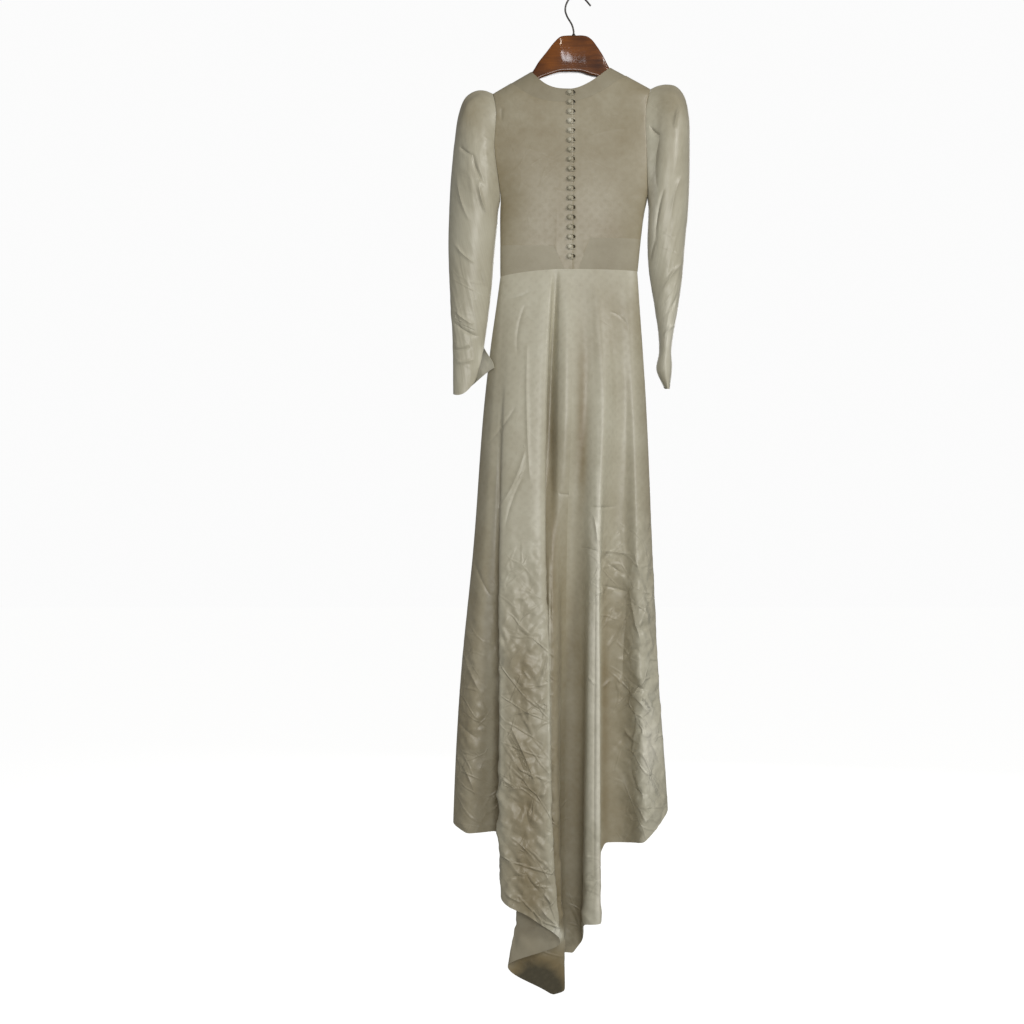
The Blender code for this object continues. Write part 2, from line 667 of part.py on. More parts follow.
def sleeve_points(rings, hand, columns):
    """Rings of a sleeve from the armhole down; angle 0 is its inner edge."""
    angle = np.linspace(0, 2 * math.pi, columns + 1)
    hole = ARMHOLES[hand]
    drop = (TIPS[hand] + hole.underarm) / 2 + (hole.underarm - TIPS[hand]) / 2 * np.cos(angle)
    rows = [np.stack([side_edges(drop)[0 if hand < 0 else 1], -hand * hole.depth * np.sin(angle), -drop], axis=-1)]
    for index, ring in enumerate(rings):
        x = (ring.outer_x + ring.inner_x) / 2 + (ring.inner_x - ring.outer_x) / 2 * np.cos(angle)
        level = (ring.outer_drop + ring.inner_drop) / 2 + (ring.inner_drop - ring.outer_drop) / 2 * np.cos(angle)
        depth = -hand * ring.depth * np.sin(angle)
        fullness = math.sin(math.pi * min((index + 1) / (HEAD_PLEAT_RINGS + 1), 1))
        head = np.clip(-np.cos(angle), 0, 1) ** 2
        pleat = HEAD_PLEAT_RISE * fullness * head * np.cos(HEAD_PLEATS * 2 * (angle - math.pi))
        away = unit(np.stack([x - (ring.outer_x + ring.inner_x) / 2, depth,
                              -level + (ring.outer_drop + ring.inner_drop) / 2], axis=-1))
        rows.append(np.stack([x, depth, -level], axis=-1) + away * pleat[:, None])
    return np.array(rows)


def build_sleeve(name, rings, hand):
    columns = 2 * ARMHOLE_STEPS
    points = sleeve_points(rings, hand, columns)
    last = len(points) - 1
    slit_row = last
    if hand < 0:
        slit_row = SLIT_ROW
        angle = np.linspace(0, 2 * math.pi, columns + 1)
        pull = np.clip(1 - angle / (0.5 * math.pi), 0, 1) ** 1.5
        edge = np.clip(1 - (2 * math.pi - angle) / (0.3 * math.pi), 0, 1)
        for flap in PLACKET_FLAP:
            points[flap.row] += np.outer(pull, (flap.across, flap.out, flap.up))
            points[flap.row, :, 0] -= PLACKET_PART * edge
    ring = inward_of(points[:, :-1], wrap=True)
    inward = np.concatenate([ring, ring[:, :1]], axis=1)
    open_rows = slice(slit_row + 1, None)
    inward[open_rows] = inward_of(points)[open_rows]
    wall(name, points, inward, "figured satin", slit_row=slit_row)


def turned(name, profile, steps):
    """A turned piece: a profile of radius and height spun about its own Z axis."""
    mesh = bmesh.new()
    verts = [mesh.verts.new((radius * MM, 0, height * MM)) for radius, height in profile]
    edges = [mesh.edges.new(pair) for pair in zip(verts, verts[1:])]
    bmesh.ops.spin(mesh, geom=verts + edges, cent=(0, 0, 0), axis=(0, 0, 1), angle=2 * math.pi,
                   steps=steps, use_merge=True)
    bmesh.ops.remove_doubles(mesh, verts=mesh.verts, dist=1e-6)
    bmesh.ops.recalc_face_normals(mesh, faces=mesh.faces)
    data = bpy.data.meshes.new(name)
    mesh.to_mesh(data)
    mesh.free()
    data.shade_smooth()
    data.set_sharp_from_angle(angle=math.radians(50))
    return data


def button_drops():
    return [FIRST_BUTTON + (LAST_BUTTON - FIRST_BUTTON) * i / (BUTTONS - 1) for i in range(BUTTONS)]


def back_surface(x, drop):
    return float(body_out(np.float64(x), np.float64(drop), BACK))


def seat_out(x, drop, radius):
    """Outermost point of the back within a small disc."""
    ring = [(0, 0), (radius, 0), (-radius, 0), (0, radius), (0, -radius)]
    return min(back_surface(x + dx, drop + dz) for dx, dz in ring)


def build_buttons():
    base = SHANK_HEIGHT
    top = SHANK_HEIGHT + DOME_HEIGHT
    profile = [(0, 0), (SHANK_RADIUS, 0), (SHANK_RADIUS, base), (BUTTON_RADIUS, base + 0.5),
               (BUTTON_RADIUS * 0.72, base + DOME_HEIGHT * 0.72), (0, top)]
    for number, drop in enumerate(button_drops(), start=1):
        name = f"button_{number:02d}"
        item = add_object(name, turned(name, profile, BUTTON_SIDES), "plain satin")
        item.rotation_euler = (math.radians(90), 0, 0)
        out = seat_out(BUTTON_X, drop, SHANK_RADIUS) - SEAM
        item.location = (BUTTON_X * MM, out * MM, -drop * MM)


def cord_object(name, points, radius, resolution, finish):
    curve = bpy.data.curves.new(name, "CURVE")
    curve.dimensions = "3D"
    curve.bevel_depth = radius * MM
    curve.bevel_resolution = resolution
    curve.use_fill_caps = True
    spline = curve.splines.new("POLY")
    spline.points.add(len(points) - 1)
    for spot, (x, y, z) in zip(spline.points, points):
        spot.co = (x * MM, y * MM, z * MM, 1)
    item = bpy.data.objects.new(name, curve)
    bpy.context.scene.collection.objects.link(item)
    curve.materials.append(finish_for(name, finish))
    return item


def build_loops():
    """One cord: out round each button's shank, back to the opening and down to the next."""
    root = OPENING_X + LOOP_ROOT
    places = []
    for drop in button_drops():
        places.append((root, drop - LOOP_REACH))
        for turn in (90, 135, 180, 225, 270):
            angle = math.radians(turn)
            places.append((BUTTON_X + LOOP_REACH * math.cos(angle), drop - LOOP_REACH * math.sin(angle)))
        places.append((root, drop + LOOP_REACH))
    lift = LOOP_CORD / 2 * math.sqrt(2) + SEAM
    points = [(x, seat_out(x, drop, LOOP_CORD) - lift, -drop) for x, drop in places]
    cord_object("button_loop_cord", points, LOOP_CORD / 2, 0, "plain satin")


def hanger_outline(section):
    """One rounded section of the hanger across its thickness."""
    top = section.top or float(shoulder(np.float64(section.x))) + CLOTH + ARM_CLEARANCE
    middle = (top + section.bottom) / 2
    half_height = (section.bottom - top) / 2
    power = BOSS_SQUARENESS if section.top else ARM_SQUARENESS
    outline = []
    for step in range(HANGER_SIDES):
        angle = 2 * math.pi * step / HANGER_SIDES
        y = section.half * math.copysign(abs(math.cos(angle)) ** power, math.cos(angle))
        z = half_height * math.copysign(abs(math.sin(angle)) ** power, math.sin(angle))
        outline.append((section.x * MM, y * MM, (z - middle) * MM))
    return outline


def build_hanger():
    mesh = bmesh.new()
    rings = []
    for section in HANGER:
        verts = [mesh.verts.new(place) for place in hanger_outline(section)]
        rings.append([mesh.edges.new((verts[i - 1], verts[i])) for i in range(len(verts))])
    for first, second in zip(rings, rings[1:]):
        bmesh.ops.bridge_loops(mesh, edges=first + second)
    for ring in (rings[0], rings[-1]):
        bmesh.ops.edgeloop_fill(mesh, edges=ring)
    bmesh.ops.recalc_face_normals(mesh, faces=mesh.faces)
    data = bpy.data.meshes.new("hanger_wood")
    mesh.to_mesh(data)
    mesh.free()
    data.shade_smooth()
    data.set_sharp_from_angle(angle=math.radians(60))
    add_object("hanger_wood", data, "varnished wood")


def build_hook():
    wood_top = min(section.top for section in HANGER if section.top)
    foot = wood_top - SEAM
    height = foot - HOOK_FOOT - SEAM
    profile = [(0, 0), (COLLAR_RADIUS, 0), (COLLAR_RADIUS, height * 0.4), (COLLAR_TOP_RADIUS, height), (0, height)]
    collar = add_object("hanger_collar", turned("hanger_collar", profile, COLLAR_SIDES), "dark steel wire")
    collar.location = (HOOK_X * MM, 0, -foot * MM)
    bends = np.array(HOOK, dtype=float)
    padded = np.vstack([2 * bends[0] - bends[1], bends, 2 * bends[-1] - bends[-2]])
    route = []
    for index in range(len(bends) - 1):
        for step in range(HOOK_STEPS):
            route.append(between([row[None, :] for row in padded[index:index + 4]], step / HOOK_STEPS)[0])
    route.append(bends[-1])
    points = [(x, 0.0, -drop) for x, drop in route]
    cord_object("hanger_hook", points, HOOK_WIRE / 2, 2, "dark steel wire")


def build_dress():
    clear_objects()
    back, front = build_bodice()
    build_neck_band(back, front)
    build_midriff(back, front)
    build_skirt()
    build_sleeve("sleeve_left", LEFT_SLEEVE, -1)
    build_sleeve("sleeve_right", RIGHT_SLEEVE, 1)
    build_buttons()
    build_loops()
    build_hanger()
    build_hook()


build_dress()
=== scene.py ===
"""The cloth, buttons, hanger and light of a wedding dress that hangs on a wooden hanger, seen from its back.

Sizes are in millimetres. A drop is a distance straight down from the origin, where the hook bears.
"""
import math
from collections import namedtuple

import bmesh
import bpy
import numpy as np
from mathutils import Matrix, Quaternion, Vector, noise


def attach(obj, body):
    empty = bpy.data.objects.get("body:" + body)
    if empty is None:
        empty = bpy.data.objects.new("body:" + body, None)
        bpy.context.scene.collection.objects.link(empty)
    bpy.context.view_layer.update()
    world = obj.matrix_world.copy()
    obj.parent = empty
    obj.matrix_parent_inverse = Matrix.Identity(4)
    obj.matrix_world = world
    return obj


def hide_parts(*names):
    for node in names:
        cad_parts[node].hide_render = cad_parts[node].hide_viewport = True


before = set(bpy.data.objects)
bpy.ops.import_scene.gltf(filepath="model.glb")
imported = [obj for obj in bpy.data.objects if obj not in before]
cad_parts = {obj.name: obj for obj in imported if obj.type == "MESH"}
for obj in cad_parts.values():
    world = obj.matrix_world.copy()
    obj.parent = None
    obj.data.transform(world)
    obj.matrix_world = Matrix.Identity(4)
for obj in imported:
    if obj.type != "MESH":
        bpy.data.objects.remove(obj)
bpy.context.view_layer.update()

MM = 0.001


def rows_of(kind, rows):
    return [kind(*row) for row in rows]


# Cloth and seams
CLOTH = 1.2
SEAM = 0.3
BACK = -1
FRONT = 1

# Shoulders: the ridge line over the hanger, highest near its middle
RIDGE_X = -6.9
RIDGE_DROP = 108.4
LEFT_SLOPE = 0.579
RIGHT_SLOPE = 0.538
ROLL_HEIGHT = 40.0

# Bodice width and depth, a row for each height
Width = namedtuple("Width", "drop left right")
WIDTHS = rows_of(Width, [
    (196, -177, 156), (232, -170, 147), (330, -171, 146), (385, -164, 148),
    (428, -159, 149), (452, -160, 144), (520, -160, 135), (592, -160, 128),
])
Depth = namedtuple("Depth", "drop back front")
DEPTHS = rows_of(Depth, [
    (150, 20, 19), (250, 26, 24), (350, 31, 28), (430, 30, 28),
    (520, 24, 24), (592, 21, 21),
])
SIDE_ROUNDNESS = 3.0
SLOPE_STEP = 0.4
MEET_ROUNDS = 12

# Armholes: drop of the underarm and half the hole's depth, left and right
Armhole = namedtuple("Armhole", "underarm depth")
ARMHOLES = {-1: Armhole(428, 22), 1: Armhole(426, 22)}

# Centre-back opening, neckline and its flat band
OPENING_X = -7.3
NECK_MIDDLE_X = -12.0
NECK_ENDS = (-95.3, 72.7)
BAND_ENDS = (-137.0, 104.0)
BAND_END_DROPS = (184, 168)
NECK_POWERS = (3.0, 1.6)
BACK_NECK_DROP = 201.0
BACK_BAND_DROP = 229.0
FRONT_NECK_DROP = 252.0
FRONT_BAND_DROP = 280.0

# Midriff band and waist seam; at the back its inner ends slope down to the waist
WAIST_LEFT = 591.0
WAIST_MIDDLE = 577.0
WAIST_RIGHT = 580.0
WAIST_MIDDLE_X = -15.5
WAIST_HALF = 144.5
MIDRIFF_LEFT = 526.0
MIDRIFF_RIGHT = 513.0
MIDRIFF_CORNERS = (-47.5, 27.6)
MIDRIFF_FEET = (-26.0, 3.0)
FRONT_MIDRIFF = 520.0

# Buttons and their loops
BUTTONS = 18
BUTTON_X = -15.4
FIRST_BUTTON = 209.0
LAST_BUTTON = 550.5
BUTTON_RADIUS = 4.7
SHANK_RADIUS = 2.2
SHANK_HEIGHT = 2.6
DOME_ANGLES = (-40, 90)
DOME_STEPS = 12
DOME_LIFT = 0.9
DOME_HEIGHT = 2.5
BUTTON_TURNS = 28
LOOP_CORD = 1.8
LOOP_REACH = 5.2
LOOP_ROOT = 3.2
LOOP_STEPS = 12
LOOP_PINCH = 0.8

# Skirt: levels down the fold lines, and a row for each fold line across the back, left to right
LEVELS = (577, 850, 1150, 1450, 1750, 2050)
Fold = namedtuple("Fold", "name hem across out")
FOLDS = [
    Fold("left side seam", 1735, (-160, -193, -216, -245, -260, -262), (0, 5, 8, 12, 15, 15)),
    Fold("left panel", 1755, (-154, -177, -194, -217, -229, -229), (-9, -20, -24, -22, -20, -20)),
    Fold("left panel turn", 1752, (-143, -164, -171, -177, -169, -169), (-12, -28, -30, -20, -8, -8)),
    Fold("left pleat inside", 1795, (-133, -156, -158, -144, -131, -131), (-15, -32, -27, -5, 12, 12)),
    Fold("column left edge", 1878, (-120, -148, -160, -161, -161, -149), (-17, -38, -52, -66, -78, -84)),
    Fold("column face", 1910, (-93, -113, -117, -111, -105, -92), (-19, -46, -64, -80, -92, -98)),
    Fold("column right edge", 1959, (-53, -64, -67, -58, -51, -27), (-21, -46, -64, -80, -91, -96)),
    Fold("column turned under", 2022, (-46, -62, -71, -77, -101, -149), (-21, -12, -20, -34, -46, -52)),
    Fold("inner ridge", 2087, (-41, -53, -52, -48, -44, -52), (-21, -8, -26, -40, -38, -36)),
    Fold("inner ridge edge", 2080, (-35, -40, -40, -39, -35, -25), (-21, -34, -24, -30, -28, -26)),
    Fold("hollow left", 2012, (-22, -23, -29, -30, -34, -34), (-21, -42, -18, 4, 10, 12)),
    Fold("hollow middle", 2016, (-3, 2, -10, -11, -11, -6), (-21, -36, -12, 12, 18, 20)),
    Fold("hollow right", 1989, (14, 19, 13, 14, 12, 10), (-21, -34, -20, 2, 8, 10)),
    Fold("narrow fold face", 1934, (26, 35, 31, 23, 17, 13), (-21, -38, -40, -50, -58, -62)),
    Fold("narrow fold edge", 1929, (39, 55, 45, 46, 46, 50), (-21, -42, -46, -60, -70, -74)),
    Fold("narrow fold under", 1856, (52, 71, 54, 37, 33, 33), (-20, -34, -26, -8, 0, 0)),
    Fold("recess left", 1780, (68, 83, 72, 62, 61, 61), (-19, -26, -14, 2, 8, 8)),
    Fold("recess right", 1779, (87, 100, 101, 104, 109, 109), (-17, -22, -14, -2, 4, 4)),
    Fold("right column crest", 1770, (106, 119, 125, 133, 139, 139), (-14, -24, -30, -34, -38, -38)),
    Fold("right column face", 1742, (121, 134, 145, 155, 170, 170), (-9, -14, -18, -18, -16, -16)),
    Fold("right side seam", 1705, (128, 147, 160, 175, 196, 198), (0, 5, 8, 12, 15, 15)),
]
FRONT_FOLDS = 9
FRONT_OUT = (21, 32, 42, 52, 60, 60)
FRONT_WAVE = (0, 3, 7, 11, 14, 14)
FRONT_WAVES = 4
FRONT_HEM_DIP = 26.0
SAMPLES = 24
SOFTEN = 5
SEAT_FADE = 150.0
BACK_SEAM_SPAN = 10

# Sleeves: a row for each ring, by its outer and inner edge and half its depth
Ring = namedtuple("Ring", "outer_x outer_drop inner_x inner_drop depth")
LEFT_SLEEVE = rows_of(Ring, [
    (-192, 200.5, -161.5, 441, 30), (-210, 202, -163.6, 452, 38), (-232, 216, -164.6, 465, 44),
    (-246.5, 250, -165.5, 480, 47), (-255, 302, -167.6, 500, 47), (-262, 370, -170.2, 526, 44),
    (-266.5, 445, -173.6, 562, 40), (-268.5, 533, -177.4, 613, 34), (-265, 632, -185.5, 680, 28),
    (-260.5, 712, -193.4, 737, 22), (-260.0, 726, -195.0, 745, 21.3), (-259, 772, -200.8, 771, 19),
    (-258.5, 836, -208, 798, 17),
])
RIGHT_SLEEVE = rows_of(Ring, [
    (171.4, 190.5, 151.4, 441, 30), (190, 188.5, 151.6, 454, 38), (209, 193, 151.2, 468, 44),
    (226, 212, 150.4, 485, 47), (236.5, 256, 149.6, 508, 47), (238, 319, 149.8, 538, 44),
    (236.5, 418, 152, 575, 40), (229, 512, 158, 616, 36), (220.7, 608, 167, 670, 33),
    (207, 692, 173, 718, 32), (199.5, 742, 173.5, 750, 32), (200.8, 782, 168.4, 785, 31),
    (196, 824, 184, 821, 27),
])
HEAD_PLEATS = 5
HEAD_PLEAT_RISE = 2.4
HEAD_PLEAT_RINGS = 4
SLIT_ROW = 10
Flap = namedtuple("Flap", "row across out up")
PLACKET_FLAP = [Flap(11, 5, 2, 0), Flap(12, 26, -18, 0), Flap(13, 36, -25, 19)]
PLACKET_PART = 3.0

# Hanger, a row for each section from left to right
Section = namedtuple("Section", "x top bottom half")
HANGER = rows_of(Section, [
    (-148, 0, 208, 3.5), (-130, 0, 203, 5.0), (-112, 0, 196, 6.0), (-93, 0, 187, 7.0),
    (-80, 141, 177, 8.5), (-63, 120, 170, 10.5), (-47, 100, 165, 11.5), (-35, 89, 162, 12.0),
    (-20, 86, 161, 12.0), (-4, 86, 161, 12.0), (14, 86, 163, 12.0), (23, 88, 166, 12.0),
    (33, 95, 169, 11.5), (43, 108, 171, 11.0), (57, 129, 178, 9.0), (70, 0, 186, 7.0),
    (95, 0, 192, 6.0), (113, 0, 197, 5.0), (130, 0, 201, 3.5),
])
ARM_CLEARANCE = 0.9
HANGER_CORNER = 7
HANGER_ALONG = 110
HANGER_EDGE = 4.0
BOSS_CREST = -4.0
HOOK_X = -5.5
HOOK_WIRE = 3.8
HOOK_FOOT = 80.0
COLLAR_RADIUS = 4.6
COLLAR_TOP_RADIUS = 2.6
COLLAR_TURNS = 36
HOOK_STEPS = 10
Bend = namedtuple("Bend", "x drop")
HOOK = rows_of(Bend, [
    (-5.5, 80), (-5.7, 74), (-9.2, 61), (-19.3, 43.3), (-23.1, 31), (-21, 17.5),
    (-13.8, 5.6), (0, -2.2), (12.5, 2.2), (21, 10.5), (30.2, 21.4),
])

# The scene's own fineness and looks

FINE_ROWS = 292
SKIRT_COLUMNS = {"skirt_back_left": 160, "skirt_back_right": 132, "skirt_front": 120}
BACK_FINE = (18, 26, 10, 8, 6, 10, 26, 16)
FRONT_FINE = (18, 26, 14, 14, 26, 16)
ARMHOLE_FINE = 64
BELOW_FINE = 30
BAND_FINE = 10
MIDRIFF_FINE = 18
SLEEVE_ROUND = 104
SLEEVE_DOWN = 15
CLOTH_SHELL = 0.7
SEAM_SINK = 0.35
CREASE_RISE = 0.8
HOLE_WIDTH = 4.8
HOLE_HEIGHT = 4.8
HOLE_REACH = 11
HOLE_COLUMNS = 6
UNDERLAP = ((1.4, 0.3), (2.6, 1.2), (2.8, 5), (2.8, 9))
ALL_SIDES = ("top", "foot", "left", "right")
HELD_ROWS = 9
HELD_FADE = 5
NEAR_HEM = 0.8
LEAST_CRUMPLE = 0.05
CRUMPLE_RISES = {"skirt": 3.0, "sleeve": 2.4, "bodice": 0.6}
DENT_SIZE = 55
DENT_SHARE = 1.2
CUFF_CURVE = {-1: 14.0, 1: 3.0}
CUFF_LEAN = {-1: 0.2, 1: 0.08}
CUFF_POWERS = (1.1, 0.8)
FLAP_TURN = 0.5 * math.pi
PLACKET_TURN = 0.3 * math.pi
SLEEVE_HELD_ROWS = 8
CREASE_WIDTH = 0.8
CREASE_REACH = 6.0
FOOT_OF_SCENE = 2160.0

CAMERA_PLACE = (-0.135, -3.2, -1.084)
CAMERA_LENS = 53.57
DRESS_MIDDLE = (0, 0, -1.1)
HANGER_MIDDLE = (0, 0, -0.13)

# Cloth tones with painted shade, from 0 in the light to 1 in a deep fold, and the depth of a fold at which the
# skirt's painted fold shade is deepest
BODICE_TONE = 0.44
MIDRIFF_TONE = 0.3
SLEEVE_TONE = 0.12
SKIRT_TONE = 0.05
SKIRT_FOLD_SHADE = 0.32
FOLD_DEPTH = 60.0

# Drawn relief of the satin: sizes in metres, rises in millimetres
Layer = namedtuple("Layer", "slant size stretch spread")
CREASE_LAYERS = rows_of(Layer, [
    (40, 0.042, 0.35, 0.06), (-34, 0.032, 0.42, 0.07), (62, 0.048, 0.3, 0.06),
])
FACET_RISE = 1.5
CRUMPLE_LINE_RISE = 3.0
CREASE_SHARPNESS = 1.8
WAVER = 0.012
SPRIG_SPACING = 0.021

# Small creases of crumpled cloth: slant in degrees, then spacing and length in millimetres
CREASING_LAYERS = 11
CREASING_SLANTS = (12, 72)
CREASING_SPACINGS = (34, 70)
CREASING_LENGTHS = (70, 150)

# Creases: ends as they are seen from the camera on the plane of the seams, half width, rise and sideways bow
Crease = namedtuple("Crease", "x0 drop0 x1 drop1 width rise bow")

LEFT_BACK_CREASES = rows_of(Crease, [
    (-150, 638, -97, 621, 5, -1.0, 3), (-107, 648, -124, 753, 5, -0.7, 7),
    (-103, 732, -97, 1016, 6, 1.0, 4),
    (-187, 942, -128, 863, 6, -1.2, 3), (-164, 1079, -107, 953, 7, 1.3, 6),
    (-150, 1120, -112, 1010, 6, -1.0, -5),
    (-38, 1045, 4, 1046, 4, -1.1, 2), (-107, 1365, -140, 1402, 7, 1.7, 2),
    (-63, 1387, -83, 1440, 5, -2.0, -2),
    (-112, 1416, -97, 1438, 5, 1.4, 0), (-132, 1432, -112, 1452, 6, -1.2, 2),
    (-90, 1449, -60, 1444, 5, 1.3, 2),
    (-140, 1515, -83, 1507, 6, 2.0, -6), (-138, 1534, -83, 1660, 6, 2.4, -2),
    (-146, 1556, -104, 1640, 6, -1.4, -2),
    (-136, 1582, -125, 1597, 5, 1.2, 0), (-86, 1482, -62, 1500, 5, 1.4, 2),
    (-158, 1635, -114, 1657, 6, 1.6, 10),
    (-143, 1669, -110, 1667, 6, 1.6, -4), (-55, 1713, -47, 1734, 4, 1.8, 0),
    (-104, 1690, -96, 1750, 6, -1.2, 3),
    (-137, 1767, -84, 1822, 7, 2.2, -4), (-125, 1820, -112, 1802, 5, 1.8, 0),
    (-70, 1835, -55, 1822, 5, 1.9, 2),
    (-108, 1837, -78, 1881, 7, -2.2, 3), (-145, 1852, -108, 1850, 6, -1.7, -3),
    (-69, 1885, -49, 1911, 5, 2.1, 0),
    (-92, 1866, -60, 1850, 5, 1.5, 3), (-150, 1880, -112, 1904, 7, 1.8, 5),
    (-78, 1911, -31, 1958, 6, 2.1, 4),
    (-92, 1912, -70, 1960, 6, -1.6, 5), (-57, 1180, -56, 1700, 4, 1.3, 1),
    (-160, 1230, -157, 1660, 9, 1.2, 2),
    (-236, 1380, -196, 1470, 6, 1.2, 5), (-250, 1520, -206, 1560, 6, -1.2, 4),
    (-252, 1600, -210, 1690, 6, 1.4, -6),
    (-216, 1180, -180, 1260, 6, -1.0, 4),
])

RIGHT_BACK_CREASES = rows_of(Crease, [
    (71, 663, 109, 701, 5, -0.7, -8), (29, 1073, 82, 1072, 4, -1.2, 2), (52, 1167, 113, 1173, 5, 1.5, -2),
    (56, 1180, 101, 1214, 5, -1.7, 3), (52, 1239, 109, 1253, 5, -1.7, -2), (47, 1168, 8, 1159, 4, -1.3, 2),
    (46, 1160, 36, 1092, 4, 1.2, 2), (106, 1306, 65, 1369, 5, 1.5, -3), (112, 1239, 140, 1369, 6, 1.9, 4),
    (107, 1268, 96, 1457, 7, -1.4, 2), (123, 1171, 149, 1262, 6, 1.8, 2), (138, 1260, 164, 1378, 6, 2.3, 0),
    (146, 1262, 160, 1300, 4, -1.7, 0), (106, 1431, 154, 1458, 6, -1.7, 7),
    (113, 1463, 159, 1518, 6, 1.8, -2),
    (147, 1463, 161, 1499, 6, 2.2, 0), (56, 1453, 70, 1438, 5, 1.1, 0), (102, 1541, 134, 1572, 6, 1.5, 3),
    (155, 1551, 184, 1625, 6, -1.8, 2), (140, 1591, 184, 1680, 7, 2.2, 4),
    (145, 1629, 176, 1713, 7, 2.2, -4),
    (113, 1604, 134, 1688, 6, -1.6, 3), (121, 1751, 159, 1720, 6, 1.7, 3), (40, 1190, 38, 1910, 4, -1.2, 1),
    (21, 1425, 38, 1446, 4, 1.2, 0), (20, 1860, 48, 1856, 4, -1.4, 0),
])

FRONT_CREASES = rows_of(Crease, [
    (-150, 660, -90, 640, 6, -1.4, 3), (96, 650, 30, 720, 6, 1.4, 6), (-40, 760, -60, 990, 7, 1.4, 6),
    (60, 860, 90, 1010, 7, -1.4, -5), (-170, 1000, -110, 1090, 7, 1.6, 6),
    (-100, 1150, -20, 1180, 6, -1.6, 4),
    (20, 1120, 100, 1230, 7, 1.8, -6), (-200, 1300, -130, 1380, 7, 1.8, 6),
    (-90, 1360, -30, 1500, 8, -1.8, 8),
    (40, 1380, 130, 1460, 7, 1.8, 5), (-220, 1520, -150, 1600, 8, -1.8, 6),
    (-60, 1600, 20, 1660, 8, 2.0, -6),
    (90, 1560, 170, 1660, 8, 1.8, 6), (-160, 1660, -80, 1720, 7, 1.8, 5),
])

LEFT_SLEEVE_CREASES = rows_of(Crease, [
    (-244, 317, -217, 334, 5, -2.2, 2), (-217, 334, -194, 392, 6, -2.4, 4),
    (-206, 392, -187, 460, 6, 2.2, 3),
    (-250, 380, -226, 470, 7, 1.4, 5), (-202, 575, -187, 617, 5, -1.6, 2),
    (-256, 520, -214, 560, 6, 1.4, 4),
    (-259, 684, -206, 716, 5, -2.0, 3), (-256, 660, -216, 690, 6, 1.6, 3),
    (-259, 743, -223, 737, 5, -1.8, 2),
    (-252, 770, -216, 764, 5, 1.5, 2),
])

RIGHT_SLEEVE_CREASES = rows_of(Crease, [
    (216, 233, 207, 281, 6, 2.2, 3), (156, 275, 176, 294, 6, -3.0, 2), (176, 294, 168, 400, 9, -2.4, 6),
    (184, 407, 166, 512, 6, -2.2, 4), (166, 512, 155, 558, 5, -1.8, 2), (220, 380, 200, 470, 7, 1.6, 5),
    (224, 560, 182, 620, 6, 1.8, 4), (216, 620, 184, 672, 6, -1.8, -4), (208, 690, 184, 716, 5, 1.6, 3),
])

BODICE_CREASES = rows_of(Crease, [
    (-157, 235, -157, 264, 4, -1.0, 0), (-40, 449, -41, 554, 14, 0.5, 1), (16, 501, 15, 558, 14, 0.5, 1),
    (-140, 300, -60, 330, 16, 0.5, 6), (20, 300, 110, 280, 16, 0.5, -6),
])

# Crumpled places: middle, reach each way, and share of the full crumple
Crumple = namedtuple("Crumple", "x drop wide high share")
CRUMPLES = rows_of(Crumple, [
    (-110, 1400, 50, 190, 0.7), (-105, 1760, 60, 170, 0.9), (-66, 1950, 80, 60, 0.75),
    (150, 1480, 50, 290, 0.8), (75, 1230, 40, 90, 0.5), (36, 1850, 20, 130, 0.4),
    (-235, 1540, 40, 220, 0.45), (-235, 660, 40, 120, 0.2), (210, 600, 40, 160, 0.2),
    (-205, 360, 40, 60, 0.25),
])


def unit(vectors):
    length = np.linalg.norm(vectors, axis=-1, keepdims=True)
    return vectors / np.maximum(length, 1e-9)


def smooth_value(knots, values, at):
    """A smooth curve through a value at each knot, read at any place."""
    knots = np.asarray(knots, dtype=float)
    values = np.asarray(values, dtype=float)
    slopes = np.gradient(values, knots)
    at = np.clip(at, knots[0], knots[-1])
    index = np.clip(np.searchsorted(knots, at, side="right") - 1, 0, len(knots) - 2)
    span = knots[index + 1] - knots[index]
    s = (at - knots[index]) / span
    start = (1 + 2 * s) * (1 - s) ** 2 * values[index] + s * (1 - s) ** 2 * span * slopes[index]
    end = s * s * (3 - 2 * s) * values[index + 1] + s * s * (s - 1) * span * slopes[index + 1]
    return start + end


def shoulder(x):
    """Drop of the ridge that the hanger gives the shoulders."""
    reach = x - RIDGE_X
    return RIDGE_DROP + np.where(reach < 0, -LEFT_SLOPE * reach, RIGHT_SLOPE * reach)


def read(table, name, drop):
    """A measure from a table with a row for each height, at any drop."""
    return smooth_value([row.drop for row in table], [getattr(row, name) for row in table], drop)


def side_edges(drop):
    return read(WIDTHS, "left", drop), read(WIDTHS, "right", drop)


def shoulder_tip(hand):
    """Drop at which the shoulder line meets the armhole."""
    drop = np.float64(200)
    for _ in range(20):
        drop = shoulder(side_edges(drop)[0 if hand < 0 else 1])
    return float(drop)


TIPS = {hand: shoulder_tip(hand) for hand in (-1, 1)}


def armhole_depth(drop, hand):
    """Half the armhole's depth: an ellipse from the shoulder tip to the underarm."""
    hole = ARMHOLES[hand]
    middle = (TIPS[hand] + hole.underarm) / 2
    half = (hole.underarm - TIPS[hand]) / 2
    return hole.depth * np.sqrt(np.clip(1 - ((drop - middle) / half) ** 2, 0, 1))


